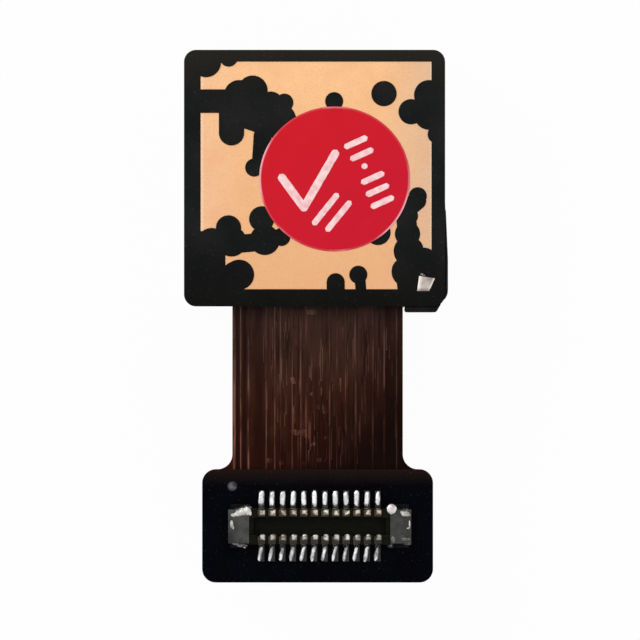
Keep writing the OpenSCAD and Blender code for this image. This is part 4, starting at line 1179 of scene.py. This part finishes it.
def dull_tin():
    """Scuffed grey tin on top, with painted shade that darkens the left clip's outer lower corner and turns the feet
    and flanks black.
    """
    material, tree, shader, where = finish("dull_tin", shade(66, 67, 64), 0.46, metallic=0.85)
    patches = grain(tree, where, 3.2, detail=4)
    scuffs = grain(tree, where, 16, stretch=(1, 0.3, 1))
    low, high = (corner.z * 1000 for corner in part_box("hold_down_left"))
    outer = level(tree, axis(tree, where, "X"), plug_middle.x - 2.72, plug_middle.x - 3.0, 0, 0.6)
    lower = level(tree, axis(tree, where, "Y"), plug_middle.y + 0.05, plug_middle.y - 0.4, 0, 1)
    tone = run(tree, patches, 0.38, 0.64, shade(56, 57, 55), shade(74, 75, 72))
    # Painted shade at the left clip's outer lower corner and on the low feet and flanks; the scuffs are real
    for share, tint in ((level(tree, scuffs, 0.64, 0.76, 0, 0.4), (122, 122, 118)),
                        (maths(tree, "MULTIPLY", outer, lower), (34, 32, 40)),
                        (level(tree, axis(tree, where, "Z"), high - 0.12, low + 0.1, 0, 1), (6, 6, 10))):
        tone = mixed(tree, share, tone, shade(*tint))
    paint(tree, shader, tone, scuffs, 0.36, 0.56)
    relief(tree, shader, scuffs, 0.003, relief(tree, shader, patches, 0.012))
    return material


# Lumps that make up each blob of solder: centre from the plug's middle at board level, and radii
LEFT_HEAP = [((-2.4, 0.5, 0.5), (0.16, 0.15, 0.07)), ((-2.55, 0.46, 0.5), (0.15, 0.12, 0.07)),
             ((-2.7, 0.42, 0.5), (0.14, 0.1, 0.065)), ((-2.85, 0.38, 0.49), (0.1, 0.07, 0.06)),
             ((-2.38, 0.61, 0.3), (0.15, 0.1, 0.26)), ((-2.55, 0.57, 0.3), (0.14, 0.1, 0.24)),
             ((-2.72, 0.52, 0.3), (0.12, 0.09, 0.22)), ((-2.88, 0.46, 0.3), (0.08, 0.07, 0.18)),
             ((-2.29, 0.44, 0.46), (0.07, 0.12, 0.1))]
# Thin bright lumps along the left clip's bent edge: painted highlights, made as solder
LEFT_HIGHLIGHT_LUMPS = [((-2.91, 0.07, 0.51), (0.06, 0.15, 0.03)), ((-2.86, -0.03, 0.51), (0.04, 0.08, 0.02))]
LEFT_FOOT = [((-2.56, -0.62, 0.08), (0.2, 0.1, 0.1)), ((-2.8, -0.55, 0.08), (0.14, 0.09, 0.1))]
LEFT_DROP = [((-2.49, -0.69, 0.14), (0.06, 0.06, 0.1))]
RIGHT_BALL = [((2.375, 0.575, 0.49), (0.18, 0.18, 0.085)), ((2.37, 0.6, 0.25), (0.14, 0.11, 0.25))]
RIGHT_HEAP = [((2.83, 0.42, 0.5), (0.16, 0.1, 0.07)), ((2.95, 0.4, 0.46), (0.08, 0.08, 0.1)),
              ((2.74, 0.46, 0.48), (0.1, 0.08, 0.08)), ((2.84, 0.52, 0.3), (0.16, 0.08, 0.22))]
# Thin bright lumps along the right clip's bent edge: painted highlights, made as solder
RIGHT_HIGHLIGHT_LUMPS = [((2.97, 0.07, 0.51), (0.035, 0.15, 0.035)), ((2.93, -0.06, 0.51), (0.06, 0.03, 0.025))]
RIGHT_FOOT = [((2.42, -0.44, 0.46), (0.1, 0.14, 0.09)), ((2.34, -0.62, 0.22), (0.12, 0.11, 0.24)),
              ((2.84, -0.42, 0.48), (0.17, 0.08, 0.08)), ((2.88, -0.58, 0.14), (0.16, 0.08, 0.18))]

dress(dull_tin(), "hold_down_left", "hold_down_right")
# Three copies of one solder: a brighter one as painted highlight on the ball and the drop, and a darker one as painted
# shade on the lower feet
bright_solder = solder_metal("bright_solder", shade(250, 240, 240), shade(176, 168, 168), 0.22)[0]
hand_solder = solder_metal("hand_solder", shade(206, 202, 196), shade(120, 117, 112), 0.32)[0]
grey_solder = solder_metal("grey_solder", shade(128, 127, 123), shade(76, 76, 73), 0.36)[0]
for name, lumps, metal, unevenness, seed in (
        ("left_upper_solder", LEFT_HEAP, hand_solder, 0.03, 1),
        ("left_ridge", LEFT_HIGHLIGHT_LUMPS, hand_solder, 0.008, 2),
        ("left_lower_solder", LEFT_FOOT, grey_solder, 0.025, 5),
        ("left_drop", LEFT_DROP, bright_solder, 0.008, 7),
        ("right_solder_ball", RIGHT_BALL, bright_solder, 0.012, 9),
        ("right_upper_solder", RIGHT_HEAP, hand_solder, 0.025, 13),
        ("right_ridge", RIGHT_HIGHLIGHT_LUMPS, hand_solder, 0.008, 15),
        ("right_lower_solder", RIGHT_FOOT, grey_solder, 0.02, 17)):
    solder_lumps(name, lumps, plug_middle, 0.012, unevenness, metal, "clip_metal", seed,
                 floor=plug_middle.z + 0.005, ceiling=upper_high.z - 0.005)


# ---------------------------------------------------------------- terminals and their glue bead
# Two tinned tabs carry the coil's current from the base to the board. A bead of black glue was
# run over them and on round the board's corner: glossy, rounded and slightly lumpy.

def cured_glue():
    material, tree, shader, where = finish("cured_glue", shade(15, 15, 17), 0.24, specular=0.08)
    lumps = grain(tree, where, 2.6, detail=2)
    dust = level(tree, grain(tree, where, 24, detail=2), 0.68, 0.75, 0, 0.3)
    body = run(tree, lumps, 0.35, 0.65, shade(7, 7, 8), shade(17, 17, 17))
    paint(tree, shader, mixed(tree, dust, body, shade(70, 68, 66)), lumps, 0.18, 0.34)
    relief(tree, shader, lumps, 0.012)
    return material


def rounded_bead(source, voxel, board_low, board_high, passes):
    """The CAD bead with its outer edges rounded; what touches the board and the holder stays put."""
    holder = welded(source, 0.001)
    refine = holder.modifiers.new("refine", "REMESH")
    refine.mode, refine.voxel_size = "VOXEL", voxel
    mesh = evaluated(holder)
    held = [board_low.x - 0.5 < v.co.x < board_high.x + 0.015 and v.co.y > board_low.y - 0.015
            for v in mesh.vertices]
    neighbours = [[] for _ in mesh.vertices]
    for first, second in (edge.vertices for edge in mesh.edges):
        neighbours[first].append(second)
        neighbours[second].append(first)
    spots = [v.co.copy() for v in mesh.vertices]
    for _ in range(passes):
        spots = [spot if fixed else (spot + sum((spots[n] for n in near), Vector()) / len(near)) / 2
                 for spot, fixed, near in zip(spots, held, neighbours)]
    for vertex, spot in zip(mesh.vertices, spots):
        vertex.co = spot
    mesh.update()
    return mesh


dress(tin_skin("tab_tin", shade(206, 204, 200), shade(168, 166, 162), 0.3), "terminal_1", "terminal_2")
board_low, board_high = (corner * 1000 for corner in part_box("head_board_rear"))
bead = place("glue_bead", in_metres(rounded_bead("terminal_glue", 0.03, board_low, board_high, passes=14)),
             cured_glue(), "black_glue")
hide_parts("terminal_glue")
